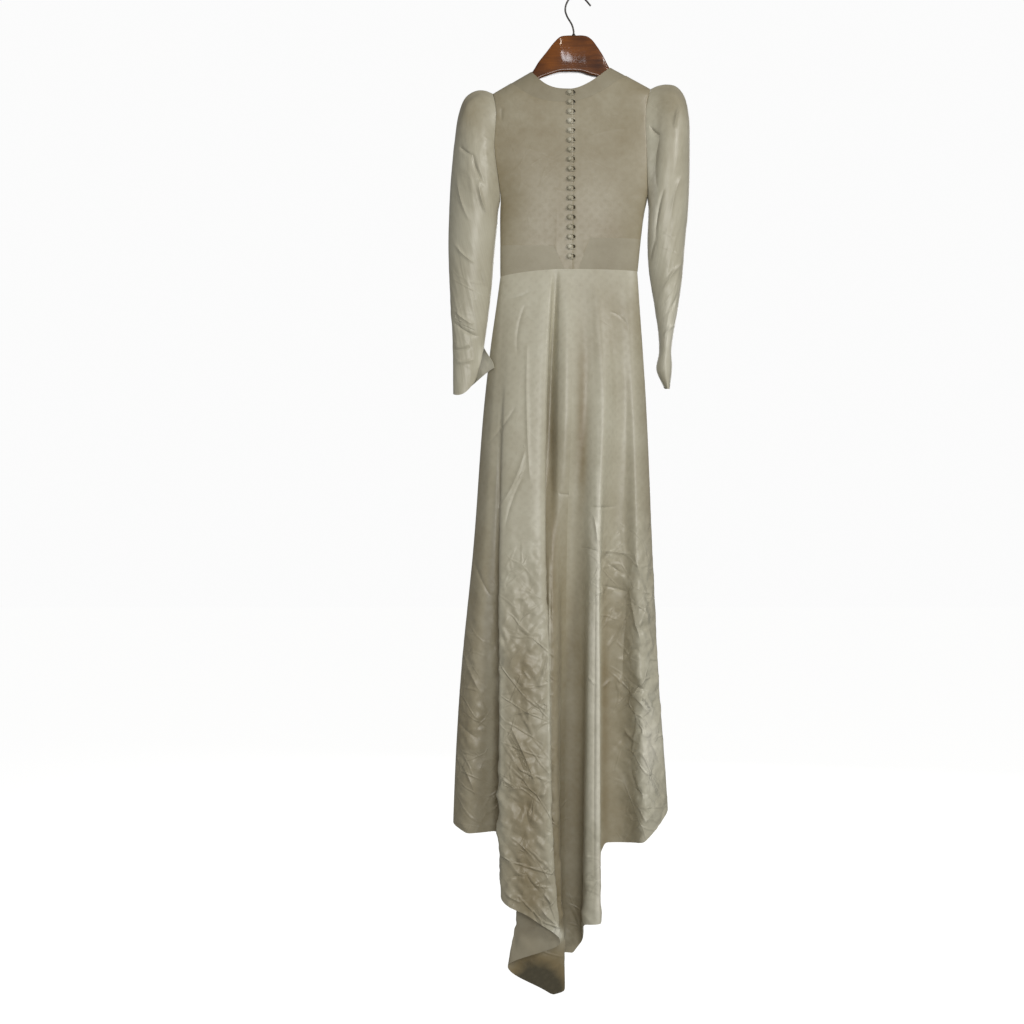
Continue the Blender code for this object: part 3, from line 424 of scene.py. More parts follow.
def body_out(x, drop, face):
    """How far the bodice stands out at a point of its back or front."""
    left, right = side_edges(drop)
    reach = np.clip((2 * x - left - right) / (right - left), -1, 1)
    depth = read(DEPTHS, "back" if face == BACK else "front", drop)
    hole = np.where(reach < 0, armhole_depth(drop, -1), armhole_depth(drop, 1))
    folded = (1 - np.abs(reach) ** SIDE_ROUNDNESS) ** (1 / SIDE_ROUNDNESS)
    open_share = hole / ARMHOLES[-1].depth
    rounding = folded * (1 - open_share) + (1 - reach ** 4) * open_share
    below = np.clip((drop - shoulder(x)) / ROLL_HEIGHT, 0, 1)
    roll = np.sqrt(1 - (1 - below) ** 2)
    return face * (hole + (depth - hole) * rounding * roll)


def across(column, drop):
    """Place across the bodice: column -1 at the left seam, 0 at the opening, 1 at the right seam."""
    left, right = side_edges(drop)
    reach = np.where(column < 0, OPENING_X - left, right - OPENING_X)
    return OPENING_X + reach * np.sin(math.pi / 2 * column)


def neck_curve(x, middle_drop, ends):
    """A curve that sags to its middle drop and rises to the shoulder line at both ends."""
    left_rise = middle_drop - shoulder(np.float64(ends[0]))
    right_rise = middle_drop - shoulder(np.float64(ends[1]))
    left_reach = np.clip((NECK_MIDDLE_X - x) / (NECK_MIDDLE_X - ends[0]), 0, 2)
    right_reach = np.clip((x - NECK_MIDDLE_X) / (ends[1] - NECK_MIDDLE_X), 0, 2)
    return middle_drop - left_rise * left_reach ** NECK_POWERS[0] - right_rise * right_reach ** NECK_POWERS[1]


def waist(x):
    """Drop of the waist seam: it sags to both sides, most to the left."""
    sag = np.where(x < WAIST_MIDDLE_X, WAIST_LEFT, WAIST_RIGHT) - WAIST_MIDDLE
    return WAIST_MIDDLE + sag * ((x - WAIST_MIDDLE_X) / WAIST_HALF) ** 2


def bodice_top(x, band_drop):
    return np.maximum(shoulder(x), neck_curve(x, band_drop, BAND_ENDS))


def back_bodice_end(x):
    """Lower edge of the back bodice: along the midriff, then down its sloping ends to the waist."""
    places = (-160, MIDRIFF_CORNERS[0], MIDRIFF_FEET[0], MIDRIFF_FEET[1], MIDRIFF_CORNERS[1], 135)
    drops = (MIDRIFF_LEFT, MIDRIFF_LEFT + 3, waist(MIDRIFF_FEET[0]), waist(MIDRIFF_FEET[1]),
             MIDRIFF_RIGHT - 1, MIDRIFF_RIGHT)
    return np.interp(x, places, drops)


def meet(column, edge):
    """Drop at which each column crosses an edge that is given by its place across."""
    drop = np.full_like(column, 300.0)
    for _ in range(MEET_ROUNDS):
        drop = edge(across(column, drop))
    return drop


def face_grid(columns, rows, top, bottom, face):
    """Outer points of the bodice between two edges, columns straight down."""
    drop_top = meet(columns, top)
    drop_bottom = meet(columns, bottom)
    drop = drop_top + (drop_bottom - drop_top) * rows
    x = across(columns[None, :], drop)
    return np.stack([x, body_out(x, drop, face), -drop], axis=-1)


def plane_grid(upper, lower, rows, face):
    """Outer points between two edges that are given point by point as x and drop."""
    plane = upper + (lower - upper) * rows[:, None, None]
    x = plane[..., 0]
    drop = plane[..., 1]
    return np.stack([x, body_out(x, drop, face), -drop], axis=-1)


def body_inward(points, face):
    """Unit vectors into the bodice from its own surface; where back meets front they stay in that plane."""
    x = points[..., 0]
    drop = -points[..., 2]
    slope_x, slope_drop = (
        (body_out(x + dx, drop + dz, face) - body_out(x - dx, drop - dz, face)) / (2 * SLOPE_STEP)
        for dx, dz in ((SLOPE_STEP, 0), (0, SLOPE_STEP)))
    inward = -face * np.stack([-slope_x, np.ones_like(x), slope_drop], axis=-1)
    inward[np.abs(points[..., 1]) < 0.02, 1] = 0
    return unit(inward)


def inward_of(points, wrap=False):
    """Unit vectors into a tube from its grid of outer points."""
    if wrap:
        side = (np.roll(points, -1, axis=1) - np.roll(points, 1, axis=1)) / 2
    else:
        side = np.gradient(points, axis=1)
    return unit(np.cross(side, np.gradient(points, axis=0)))


def column_at(x, drop):
    """The column that passes through a place on the bodice."""
    left, right = side_edges(np.float64(drop))
    reach = (x - OPENING_X) / ((OPENING_X - left) if x < OPENING_X else (right - OPENING_X))
    return math.asin(reach) * 2 / math.pi


def fold_lines():
    """Every fold line round the skirt: place across and out at each level, and hem drop."""
    across_rows = [fold.across for fold in FOLDS]
    out_rows = [fold.out for fold in FOLDS]
    hems = [fold.hem for fold in FOLDS]
    left = np.array(FOLDS[0].across, dtype=float)
    right = np.array(FOLDS[-1].across, dtype=float)
    for step in range(1, FRONT_FOLDS + 1):
        part = step / (FRONT_FOLDS + 1)
        swing = (1 - math.cos(math.pi * part)) / 2
        across_rows.append(right + (left - right) * (0.5 * part + 0.5 * swing))
        wave = math.cos(2 * math.pi * FRONT_WAVES * part)
        rounding = math.sin(math.pi * part) ** 0.5
        out_rows.append(np.array(FRONT_OUT) * rounding + np.array(FRONT_WAVE) * wave * rounding)
        hem = FOLDS[-1].hem + (FOLDS[0].hem - FOLDS[-1].hem) * part
        hems.append(hem + FRONT_HEM_DIP * math.sin(math.pi * part))
    return np.array(across_rows, dtype=float), np.array(out_rows, dtype=float), np.array(hems, dtype=float)


def softened(values, axis=0):
    """Rounds every fold a little, all round the closed section."""
    for _ in range(SOFTEN):
        values = (np.roll(values, 1, axis) + 2 * values + np.roll(values, -1, axis)) / 4
    return values


def between(points, part):
    """Centripetal curve from the second of four points to the third, row by row."""
    first, second, third, fourth = points
    knots = [np.zeros(first.shape[:-1] + (1,))]
    for start, end in ((first, second), (second, third), (third, fourth)):
        step = np.linalg.norm(end - start, axis=-1, keepdims=True) ** 0.5
        knots.append(knots[-1] + np.maximum(step, 0.3))
    t0, t1, t2, t3 = knots
    t = t1 + (t2 - t1) * part
    a1 = (t1 - t) / (t1 - t0) * first + (t - t0) / (t1 - t0) * second
    a2 = (t2 - t) / (t2 - t1) * second + (t - t1) / (t2 - t1) * third
    a3 = (t3 - t) / (t3 - t2) * third + (t - t2) / (t3 - t2) * fourth
    b1 = (t2 - t) / (t2 - t0) * a1 + (t - t0) / (t2 - t0) * a2
    b2 = (t3 - t) / (t3 - t1) * a2 + (t - t1) / (t3 - t1) * a3
    return (t2 - t) / (t2 - t1) * b1 + (t - t1) / (t2 - t1) * b2


def skirt_grid(rows):
    """Outer points of the whole skirt as one closed ring of columns."""
    across_rows, out_rows, hems = fold_lines()
    count = len(hems)
    spots = np.arange(count * SAMPLES) / SAMPLES
    ring = np.arange(count + 1)
    closed_waist = np.append(across_rows[:, 0], across_rows[0, 0])
    waist_x = softened(np.interp(spots, ring, closed_waist))
    waist_x[0] = across_rows[0, 0]
    waist_x[(len(FOLDS) - 1) * SAMPLES] = across_rows[len(FOLDS) - 1, 0]
    hem = softened(np.interp(spots, ring, np.append(hems, hems[0])))
    top = waist(waist_x)
    drop = top + (hem - top) * rows[:, None]
    plane = np.zeros(drop.shape + (2,))
    for column, spot in enumerate(spots):
        line = int(spot)
        near = []
        for step in (-1, 0, 1, 2):
            index = (line + step) % count
            x = smooth_value(LEVELS, across_rows[index], drop[:, column])
            y = smooth_value(LEVELS, out_rows[index], drop[:, column])
            near.append(np.stack([x, y], axis=-1))
        plane[:, column] = between(near, spot - line)
    plane = softened(plane, axis=1)
    on_back = spots <= len(FOLDS) - 1
    seat_y = np.where(on_back, body_out(waist_x, top, BACK), body_out(waist_x, top, FRONT))
    fade = np.clip(1 - (drop - top) / SEAT_FADE, 0, 1)
    fade = fade * fade * (3 - 2 * fade)
    plane[..., 0] += (waist_x - plane[0, :, 0]) * fade
    plane[..., 1] += (seat_y - plane[0, :, 1]) * fade
    return np.concatenate([plane, -drop[..., None]], axis=-1)


def sleeve_points(rings, hand, columns):
    """Rings of a sleeve from the armhole down; angle 0 is its inner edge."""
    angle = np.linspace(0, 2 * math.pi, columns + 1)
    hole = ARMHOLES[hand]
    drop = (TIPS[hand] + hole.underarm) / 2 + (hole.underarm - TIPS[hand]) / 2 * np.cos(angle)
    edge = side_edges(drop)[0 if hand < 0 else 1]
    rows = [np.stack([edge, -hand * hole.depth * np.sin(angle), -drop], axis=-1)]
    for index, ring in enumerate(rings):
        x = (ring.outer_x + ring.inner_x) / 2 + (ring.inner_x - ring.outer_x) / 2 * np.cos(angle)
        middle = (ring.outer_drop + ring.inner_drop) / 2
        level = middle + (ring.inner_drop - ring.outer_drop) / 2 * np.cos(angle)
        depth = -hand * ring.depth * np.sin(angle)
        fullness = math.sin(math.pi * min((index + 1) / (HEAD_PLEAT_RINGS + 1), 1))
        head = np.clip(-np.cos(angle), 0, 1) ** 2
        pleat = HEAD_PLEAT_RISE * fullness * head * np.cos(HEAD_PLEATS * 2 * (angle - math.pi))
        away = unit(np.stack([x - (ring.outer_x + ring.inner_x) / 2, depth, -level + middle], axis=-1))
        rows.append(np.stack([x, depth, -level], axis=-1) + away * pleat[:, None])
    return np.array(rows)


def button_drops():
    return [FIRST_BUTTON + (LAST_BUTTON - FIRST_BUTTON) * i / (BUTTONS - 1) for i in range(BUTTONS)]


# Spots of painted shade that darken the cloth in its folds, hollows and turned-away faces, and of painted light
# where the amount is negative; one makes the train's tip darker
ShadeSpot = namedtuple("ShadeSpot", "x drop wide high amount")
BACK_SHADE_SPOTS = rows_of(ShadeSpot, [
    (70, 680, 70, 60, 0.05), (70, 660, 75, 110, 0.18), (-110, 1000, 40, 200, 0.04),
    (-51, 1250, 10, 300, 0.22), (12, 900, 12, 170, 0.44), (-56, 1440, 4, 300, -0.3),
    (-158, 1540, 7, 330, -0.14), (30, 1500, 10, 420, -0.2), (46, 1500, 5, 420, -0.5),
    (60, 1500, 8, 420, 0.14), (-235, 1640, 36, 180, 0.06), (-180, 1570, 10, 260, -0.14),
    (-108, 1460, 46, 190, 0.36), (-105, 1720, 50, 130, 0.36), (-98, 1890, 48, 90, 0.42),
    (-38, 1972, 13, 13, -0.8), (-78, 2085, 60, 56, 0.85), (165, 1280, 40, 120, -0.12),
    (165, 1600, 40, 230, -0.4),
])

SLEEVE_SHADE_SPOTS = rows_of(ShadeSpot, [
    (-225, 240, 45, 60, 0.28), (205, 220, 45, 55, 0.24), (188, 700, 40, 110, -0.2),
    (160, 420, 14, 160, -0.2), (-183, 768, 22, 32, -0.6),
])

FRONT_SHADE_SPOTS = rows_of(ShadeSpot, [
    (-80, 1500, 60, 260, 0.08), (90, 1200, 50, 300, 0.06), (20, 1700, 90, 60, 0.12),
])


def plain_colour(text):
    """A colour written in sRGB hex, as linear light."""
    parts = [int(text[i:i + 2], 16) / 255 for i in (1, 3, 5)]
    return tuple(p / 12.92 if p <= 0.04045 else ((p + 0.055) / 1.055) ** 2.4 for p in parts) + (1.0,)


def set_inputs(tree, node, inputs):
    """Gives each input of a node its value, or the socket that feeds it."""
    for key, value in inputs.items():
        if isinstance(value, bpy.types.NodeSocket):
            tree.links.new(value, node.inputs[key])
        else:
            node.inputs[key].default_value = value


def add_node(tree, kind, inputs=None, **settings):
    """Adds a shader node with its settings and inputs."""
    made = tree.nodes.new(kind)
    for name, value in settings.items():
        setattr(made, name, value)
    set_inputs(tree, made, inputs or {})
    return made


def maths(tree, operation, *values, **settings):
    inputs = dict(enumerate(values))
    return add_node(tree, "ShaderNodeMath", inputs, operation=operation, **settings).outputs["Value"]


def ranged(tree, value, low, high, at_low=0.0, at_high=1.0, **settings):
    """Carries a value from one range into another."""
    inputs = {"Value": value, "From Min": low, "From Max": high, "To Min": at_low, "To Max": at_high}
    return add_node(tree, "ShaderNodeMapRange", inputs, **settings).outputs["Result"]


def cloudy(tree, place, scale, detail, socket="Fac", **inputs):
    """Soft noise: its value, or its colour for moving a place about."""
    inputs.update(Vector=place, Scale=scale, Detail=detail)
    return add_node(tree, "ShaderNodeTexNoise", inputs).outputs[socket]


def mapped(tree, place, **inputs):
    return add_node(tree, "ShaderNodeMapping", {"Vector": place, **inputs}).outputs["Vector"]


def wavering(tree, place, scale):
    """A place moved about a little, so that what is drawn on it isn't straight."""
    pull = add_node(tree, "ShaderNodeVectorMath", {0: cloudy(tree, place, scale, 2.0, "Color"), "Scale": WAVER},
                    operation="SCALE")
    return add_node(tree, "ShaderNodeVectorMath", {0: place, 1: pull.outputs["Vector"]}).outputs["Vector"]


def cloth_mark(tree, name):
    return add_node(tree, "ShaderNodeAttribute", attribute_name=name).outputs["Fac"]


def object_place(tree):
    return add_node(tree, "ShaderNodeTexCoord").outputs["Object"]


def mixed(tree, share, first, second):
    inputs = {"Factor": share, "A": first, "B": second}
    return add_node(tree, "ShaderNodeMix", inputs, data_type="RGBA").outputs[2]


def ramped(tree, value, *stops):
    """A colour from stops of position and hex colour, the first two of them the ramp's own."""
    ramp = add_node(tree, "ShaderNodeValToRGB", {"Fac": value})
    for index, (position, colour) in enumerate(stops):
        stop = ramp.color_ramp.elements[index] if index < 2 else ramp.color_ramp.elements.new(position)
        stop.position = position
        stop.color = plain_colour(colour)
    return ramp.outputs["Color"]


def raised(tree, height, strength, reach, **inputs):
    """The normal of a relief; its reach is in millimetres."""
    inputs.update(Height=height, Strength=strength, Distance=reach * MM)
    return add_node(tree, "ShaderNodeBump", inputs).outputs["Normal"]


def new_material(name):
    material = bpy.data.materials.new(name)
    material.use_nodes = True
    tree = material.node_tree
    tree.nodes.clear()
    shader = add_node(tree, "ShaderNodeBsdfPrincipled")
    add_node(tree, "ShaderNodeOutputMaterial", {"Surface": shader.outputs["BSDF"]})
    return material, tree, shader


def crease_lines(tree, place, share):
    """Sharp crease lines that cross in long slanting facets, broken up so that each dies away at its ends."""
    total = None
    for layer in CREASE_LAYERS:
        leaned = mapped(tree, wavering(tree, place, 14.0), Rotation=(0, math.radians(layer.slant), 0))
        drawn = mapped(tree, leaned, Scale=(1.0, 0.6, layer.stretch))
        cells = add_node(tree, "ShaderNodeTexVoronoi", {"Vector": drawn, "Scale": 1 / layer.size},
                         feature="DISTANCE_TO_EDGE").outputs["Distance"]
        ridge = ranged(tree, cells, 0.0, layer.spread, 0.6, 0.0, interpolation_type="SMOOTHSTEP")
        shown = ranged(tree, cloudy(tree, drawn, 0.7 / layer.size, 1.0), 0.5, 0.6)
        facet = maths(tree, "MULTIPLY_ADD", cells, FACET_RISE, maths(tree, "MULTIPLY", ridge, shown))
        total = facet if total is None else maths(tree, "ADD", total, facet)
    return maths(tree, "MULTIPLY", total, share)


def pressed_lines(tree):
    """The placed creases as fine sharp ridges in millimetres, from each point's distance to its nearest."""
    away = maths(tree, "ABSOLUTE", cloth_mark(tree, "crease_side"))
    sharp = maths(tree, "POWER", ranged(tree, away, 0.0, CREASE_REACH, 1.0, 0.0), CREASE_SHARPNESS)
    return maths(tree, "MULTIPLY", sharp, cloth_mark(tree, "crease_rise"))


def woven_satin(name, light, fold_shade, roughness, figure):
    """Rayon satin: a smooth float-faced weave that glows softly along its folds and creases.

    The figure is a small woven sprig in staggered rows 21 mm apart, hardly duller than its ground. The
    real thread is 0.2 mm, too fine to show, so the weave is drawn as a 1.4 mm cross grain.
    """
    material, tree, shader = new_material(name)
    place = object_place(tree)
    sheet = add_node(tree, "ShaderNodeUVMap", uv_map="cloth").outputs["UV"]
    clouds = maths(tree, "MULTIPLY_ADD", cloudy(tree, sheet, 60.0, 3.0, Roughness=0.65), 0.35,
                   cloudy(tree, place, 9.0, 4.0, Roughness=0.6))
    # The tone mark, with random mottling, picks the ground colour: painted shade in folds and hollows, painted
    # light where it is below the lit level.
    shade_and_mottle = maths(tree, "ADD", cloth_mark(tree, "tone"), maths(tree, "MULTIPLY_ADD", clouds, 0.42, -0.135),
                 use_clamp=True)
    # Ramp stops: a painted-light ivory, the lit colour, the painted fold shade and a deep painted shade.
    ground = ramped(tree, shade_and_mottle, (0.0, "#e0dccb"), (1.0, "#4f4938"), (0.15, light), (0.78, fold_shade))
    turned = mapped(tree, wavering(tree, sheet, 90.0), Rotation=(0, 0, math.radians(45)))
    sprigs = add_node(tree, "ShaderNodeTexVoronoi", {"Vector": turned, "Scale": math.sqrt(2) / SPRIG_SPACING,
                                                     "Randomness": 0.3}, voronoi_dimensions="2D")
    leaf = maths(tree, "MULTIPLY", ranged(tree, sprigs.outputs["Distance"], 0.12, 0.42, 1.0, 0.0),
                 cloudy(tree, sheet, 300.0, 3.0))
    shown = maths(tree, "MULTIPLY", leaf, figure)
    lines = crease_lines(tree, place, cloth_mark(tree, "crumple"))
    height = maths(tree, "MULTIPLY_ADD", lines, CRUMPLE_LINE_RISE, pressed_lines(tree))
    grain = cloudy(tree, mapped(tree, sheet, Scale=(1.0, 0.45, 1.0)), 700.0, 2.0)
    set_inputs(tree, shader, {
        "Base Color": mixed(tree, shown, ground, plain_colour("#7d7458")),
        "Roughness": maths(tree, "MULTIPLY_ADD", shown, 0.5, roughness), "IOR": 1.5,
        "Sheen Weight": 0.12, "Sheen Roughness": 0.4, "Sheen Tint": plain_colour("#f2efdf"),
        "Normal": raised(tree, height, 1.0, 1.0, Normal=raised(tree, grain, 0.25, 0.25))})
    return material


def satin_back(name, colour):
    """The wrong side of the satin: matte, with the short floats of the weave behind it."""
    material, tree, shader = new_material(name)
    place = object_place(tree)
    set_inputs(tree, shader, {
        "Base Color": mixed(tree, cloudy(tree, place, 18.0, 4.0), plain_colour(colour), plain_colour("#8c8069")),
        "Roughness": 0.85, "Normal": raised(tree, cloudy(tree, place, 600.0, 2.0), 0.3, 0.3)})
    return material


def varnished_beech(name):
    """Turned beech under dark red-brown shellac: deep colour, fine grain and a hard gloss."""
    material, tree, shader = new_material(name)
    place = object_place(tree)
    grain = cloudy(tree, mapped(tree, place, Scale=(6.0, 60.0, 60.0)), 2.2, 5.0, Roughness=0.6, Distortion=0.5)
    both = maths(tree, "MULTIPLY_ADD", cloudy(tree, place, 14.0, 2.0), 0.75, maths(tree, "MULTIPLY", grain, 0.55))
    relief = raised(tree, cloudy(tree, place, 60.0, 3.0), 0.4, 0.25)
    set_inputs(tree, shader, {
        "Base Color": ramped(tree, both, (0.42, "#3c1a03"), (0.82, "#8c4e0e")), "Roughness": 0.5,
        "Specular IOR Level": 0.15, "Coat Weight": 1.0, "Coat Roughness": 0.09, "Normal": relief,
        "Coat Normal": relief})
    return material


def drawn_steel(name):
    """Bare drawn steel wire, dulled and darkened by handling."""
    material, tree, shader = new_material(name)
    wear = cloudy(tree, object_place(tree), 120.0, 3.0)
    set_inputs(tree, shader, {"Base Color": ramped(tree, wear, (0.0, "#3e3d3b"), (1.0, "#77746f")),
                              "Metallic": 1.0, "Roughness": 0.38})
    return material


def sheet_lengths(points):
    """Lengths along the cloth: across each row, and down each column, from its middle column."""
    across_steps = np.linalg.norm(np.diff(points, axis=1), axis=-1)
    down_steps = np.linalg.norm(np.diff(points, axis=0), axis=-1)
    u = np.concatenate([np.zeros((len(points), 1)), np.cumsum(across_steps, axis=1)], axis=1)
    v = np.concatenate([np.zeros((1, points.shape[1])), np.cumsum(down_steps, axis=0)], axis=0)
    middle = points.shape[1] // 2
    return u - u[:, middle:middle + 1], v


def as_seen(points):
    """Where the camera sees each point on the plane of the seams, as place across and drop."""
    camera = np.array(CAMERA_PLACE) / MM
    scale = -camera[1] / (points[..., 1] - camera[1])
    x = camera[0] + (points[..., 0] - camera[0]) * scale
    z = camera[2] + (points[..., 2] - camera[2]) * scale
    return x, -z


def along_crease(crease, x, drop):
    """How far each point is to the side of a crease, how far along it, and how far from it."""
    run = np.array([crease.x1 - crease.x0, crease.drop1 - crease.drop0], dtype=float)
    length = np.linalg.norm(run)
    run /= length
    along = (x - crease.x0) * run[0] + (drop - crease.drop0) * run[1]
    part = np.clip(along / length, 0, 1)
    side = (x - crease.x0) * -run[1] + (drop - crease.drop0) * run[0] - crease.bow * 4 * part * (1 - part)
    return side, part, np.hypot(side, along - part * length)


def creased(points, inward, creases, face):
    """Presses a table of creases softly into the side of the cloth that faces that way.

    Gives the new points, and each point's distance to its nearest crease with that crease's rise, from
    which the cloth's material draws the sharp line.
    """
    x, drop = as_seen(points) if face == BACK else (points[..., 0], -points[..., 2])
    lift = np.zeros(x.shape)
    nearest = np.full(x.shape, 2.5 * CREASE_REACH)
    line = np.zeros(x.shape)
    rise = np.zeros(x.shape)
    facing = np.clip(-inward[..., 1] * face * 3, 0, 1)
    for crease in creases:
        side, part, away = along_crease(crease, x, drop)
        fade = np.sin(math.pi * part) ** 0.6
        swell = np.exp(-(away / crease.width / CREASE_WIDTH) ** 2)
        lift += crease.rise * CREASE_RISE * (0.25 + 0.75 * fade) * swell
        closer = away < nearest
        nearest = np.where(closer, away, nearest)
        line = np.where(closer, side, line)
        strength = crease.rise * fade * min(1, 6 / crease.width) * np.clip(2 - away / CREASE_REACH, 0, 1)
        rise = np.where(closer, strength, rise)
    return points - inward * (lift * facing)[..., None], {"crease_side": line, "crease_rise": rise * facing}


def crumple_share(points):
    """How crumpled the cloth is at each point, from 0 to 1."""
    x, drop = as_seen(points)
    share = np.full(x.shape, LEAST_CRUMPLE)
    for place in CRUMPLES:
        away = np.hypot((x - place.x) / place.wide, (drop - place.drop) / place.high)
        share = np.maximum(share, place.share * np.clip(1.7 - away, 0, 1))
    return share


def creasing(u, v, seed):
    """Straight sharp creases of uneven length that cross each other, mostly on the bias of the cloth."""
    pick = np.random.default_rng(seed)
    lift = np.zeros(u.shape)
    for _ in range(CREASING_LAYERS):
        turn = math.radians(pick.choice((-1, 1)) * pick.uniform(*CREASING_SLANTS))
        spacing = pick.uniform(*CREASING_SPACINGS)
        length = pick.uniform(*CREASING_LENGTHS)
        start = pick.uniform(0, 900, 2)
        side = u * math.cos(turn) + v * math.sin(turn) + start[0]
        along = v * math.cos(turn) - u * math.sin(turn) + start[1]
        side = side + 7 * np.sin(along / 41) + 4 * np.sin(along / 17 + side / 60)
        line = np.round(side / spacing)
        away = np.abs(side - line * spacing)
        place = along / length * 2 * math.pi + line * 2.4
        shown = np.clip(np.sin(place) * 1.6 - 0.35 + 0.5 * np.sin(line * 5.1), 0, 1)
        width = 5.5 + 2 * np.sin(line * 3.7)
        lift += np.where(np.sin(line * 12.9) > 0, 1, -0.8) * shown * np.exp(-(away / width) ** 1.5)
    return lift


def crumpled(points, inward, share, rise, seed):
    """Presses small creases and soft dents into the cloth, as deep as it is crumpled there."""
    u, v = sheet_lengths(points)
    shift = Vector((seed * 7.3, seed * 3.1, seed * 5.7))
    dents = np.array([noise.noise(Vector(spot) + shift) for spot in points.reshape(-1, 3) / DENT_SIZE])
    dents = dents.reshape(share.shape)
    return points - inward * ((creasing(u, v, seed) * rise + dents * rise * DENT_SHARE) * share)[..., None]


def sunk(points, inward, sides):
    """Draws the sewn edges of a panel softly into its seams."""
    result = points.copy()
    for step, part in enumerate((1, 0.6, 0.25)):
        depth = SEAM_SINK * part
        if "top" in sides:
            result[step] += inward[step] * depth * 0.6
        if "foot" in sides:
            result[-1 - step] += inward[-1 - step] * depth * 0.6
        if "left" in sides:
            result[:, step] += inward[:, step] * depth
        if "right" in sides:
            result[:, -1 - step] += inward[:, -1 - step] * depth
    return result


def toned(points, base, spots):
    """How much painted shade the cloth takes at each point, from 0 in the light to 1 in a deep fold, and painted
    light below 0, on top of each piece's own tone.
    """
    x, drop = as_seen(points)
    tone = np.array(np.broadcast_to(base, x.shape), dtype=float)
    for spot in spots:
        away = np.hypot((x - spot.x) / spot.wide, (drop - spot.drop) / spot.high)
        tone += spot.amount * np.exp(-away ** 2)
    return np.clip(tone, -0.15, 1)


def put_in(name, data):
    made = bpy.data.objects.new(name, data)
    bpy.context.scene.collection.objects.link(made)
    return made


def mesh_data(name, mesh):
    data = bpy.data.meshes.new(name)
    mesh.to_mesh(data)
    mesh.free()
    return data


def placed_grid(name, points, places):
    """A Blender grid with its corners moved to a grid of points, and a map of the cloth in metres."""
    rows, columns = points.shape[:2]
    mesh = bmesh.new()
    bmesh.ops.create_grid(mesh, x_segments=columns - 1, y_segments=rows - 1, size=0.5)
    data = mesh_data(name, mesh)
    flat = np.empty(len(data.vertices) * 3)
    data.vertices.foreach_get("co", flat)
    flat = flat.reshape(-1, 3)
    column = np.rint((flat[:, 0] + 0.5) * (columns - 1)).astype(int)
    row = np.rint((0.5 - flat[:, 1]) * (rows - 1)).astype(int)
    data.vertices.foreach_set("co", (points[row, column] * MM).ravel())
    corner = np.empty(len(data.loops), dtype=int)
    data.loops.foreach_get("vertex_index", corner)
    layer = data.uv_layers.new(name="cloth")
    layer.data.foreach_set("uv", (np.stack(places, axis=-1)[row, column][corner] * MM).ravel())
    return data, row, column


def shell(name, points, inward, marks, materials, places, closes=False):
    """A thin cloth shell on a grid of outer points: right side out, wrong side in."""
    data, row, column = placed_grid(name, points, places)
    for mark, values in marks.items():
        data.attributes.new(mark, "FLOAT", "POINT").data.foreach_set("value", values[row, column].ravel())
    centre = data.polygons[len(data.polygons) // 2]
    near = np.abs(points - np.array(centre.center) / MM).sum(axis=-1)
    if centre.normal @ Vector(inward[np.unravel_index(np.argmin(near), near.shape)]) > 0:
        data.flip_normals()
    mesh = bmesh.new()
    mesh.from_mesh(data)
    if closes:
        bmesh.ops.remove_doubles(mesh, verts=mesh.verts, dist=1e-6)
    for edge in mesh.edges:
        edge.smooth = not edge.is_boundary
    mesh.to_mesh(data)
    mesh.free()
    data.polygons.foreach_set("use_smooth", [True] * len(data.polygons))
    piece = put_in(name, data)
    for material in materials:
        data.materials.append(material)
    wall = piece.modifiers.new("cloth thickness", "SOLIDIFY")
    wall.thickness = CLOTH_SHELL * MM
    wall.offset = -1.0
    wall.material_offset = 1
    return piece


def sewn(piece, node):
    """Attaches a cloth panel to the root and hides the node that it stands in for."""
    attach(piece, "root")
    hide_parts(node)


def columns_through(stops, counts):
    """Columns through every stop, with a count of even steps between each pair."""
    columns = [stops[0]]
    for start, end, count in zip(stops, stops[1:], counts):
        columns.extend(np.linspace(start, end, count + 1)[1:])
    return np.array(columns)


def back_stops():
    left_corner = column_at(MIDRIFF_CORNERS[0], MIDRIFF_LEFT + 3)
    right_corner = column_at(MIDRIFF_CORNERS[1], MIDRIFF_RIGHT - 1)
    left_foot, right_foot = (column_at(foot, WAIST_MIDDLE) for foot in MIDRIFF_FEET)
    left_end, right_end = (column_at(*end) for end in zip(BAND_ENDS, BAND_END_DROPS))
    return (-1, left_end, left_corner, left_foot, 0, right_foot, right_corner, right_end, 1)


def front_stops():
    left_corner, right_corner = (column_at(corner, FRONT_MIDRIFF) for corner in MIDRIFF_CORNERS)
    left_end, right_end = (column_at(*end) for end in zip(BAND_ENDS, BAND_END_DROPS))
    return (-1, left_end, left_corner, 0, right_corner, right_end, 1)


def bodice_rows(columns, left_end, right_end):
    """Rows for each column: the armhole's steps at both sides, then even steps to the lower edge."""
    turn = np.linspace(0, math.pi, ARMHOLE_FINE + 1)
    sides = []
    for hand, end in ((-1, left_end), (1, right_end)):
        tip = TIPS[hand]
        underarm = ARMHOLES[hand].underarm
        drops = (tip + underarm) / 2 - (underarm - tip) / 2 * np.cos(turn)
        drops = np.concatenate([drops, np.linspace(underarm, end, BELOW_FINE + 1)[1:]])
        sides.append((drops - tip) / (end - tip))
    share = (columns + 1) / 2
    return sides[0][:, None] * (1 - share) + sides[1][:, None] * share


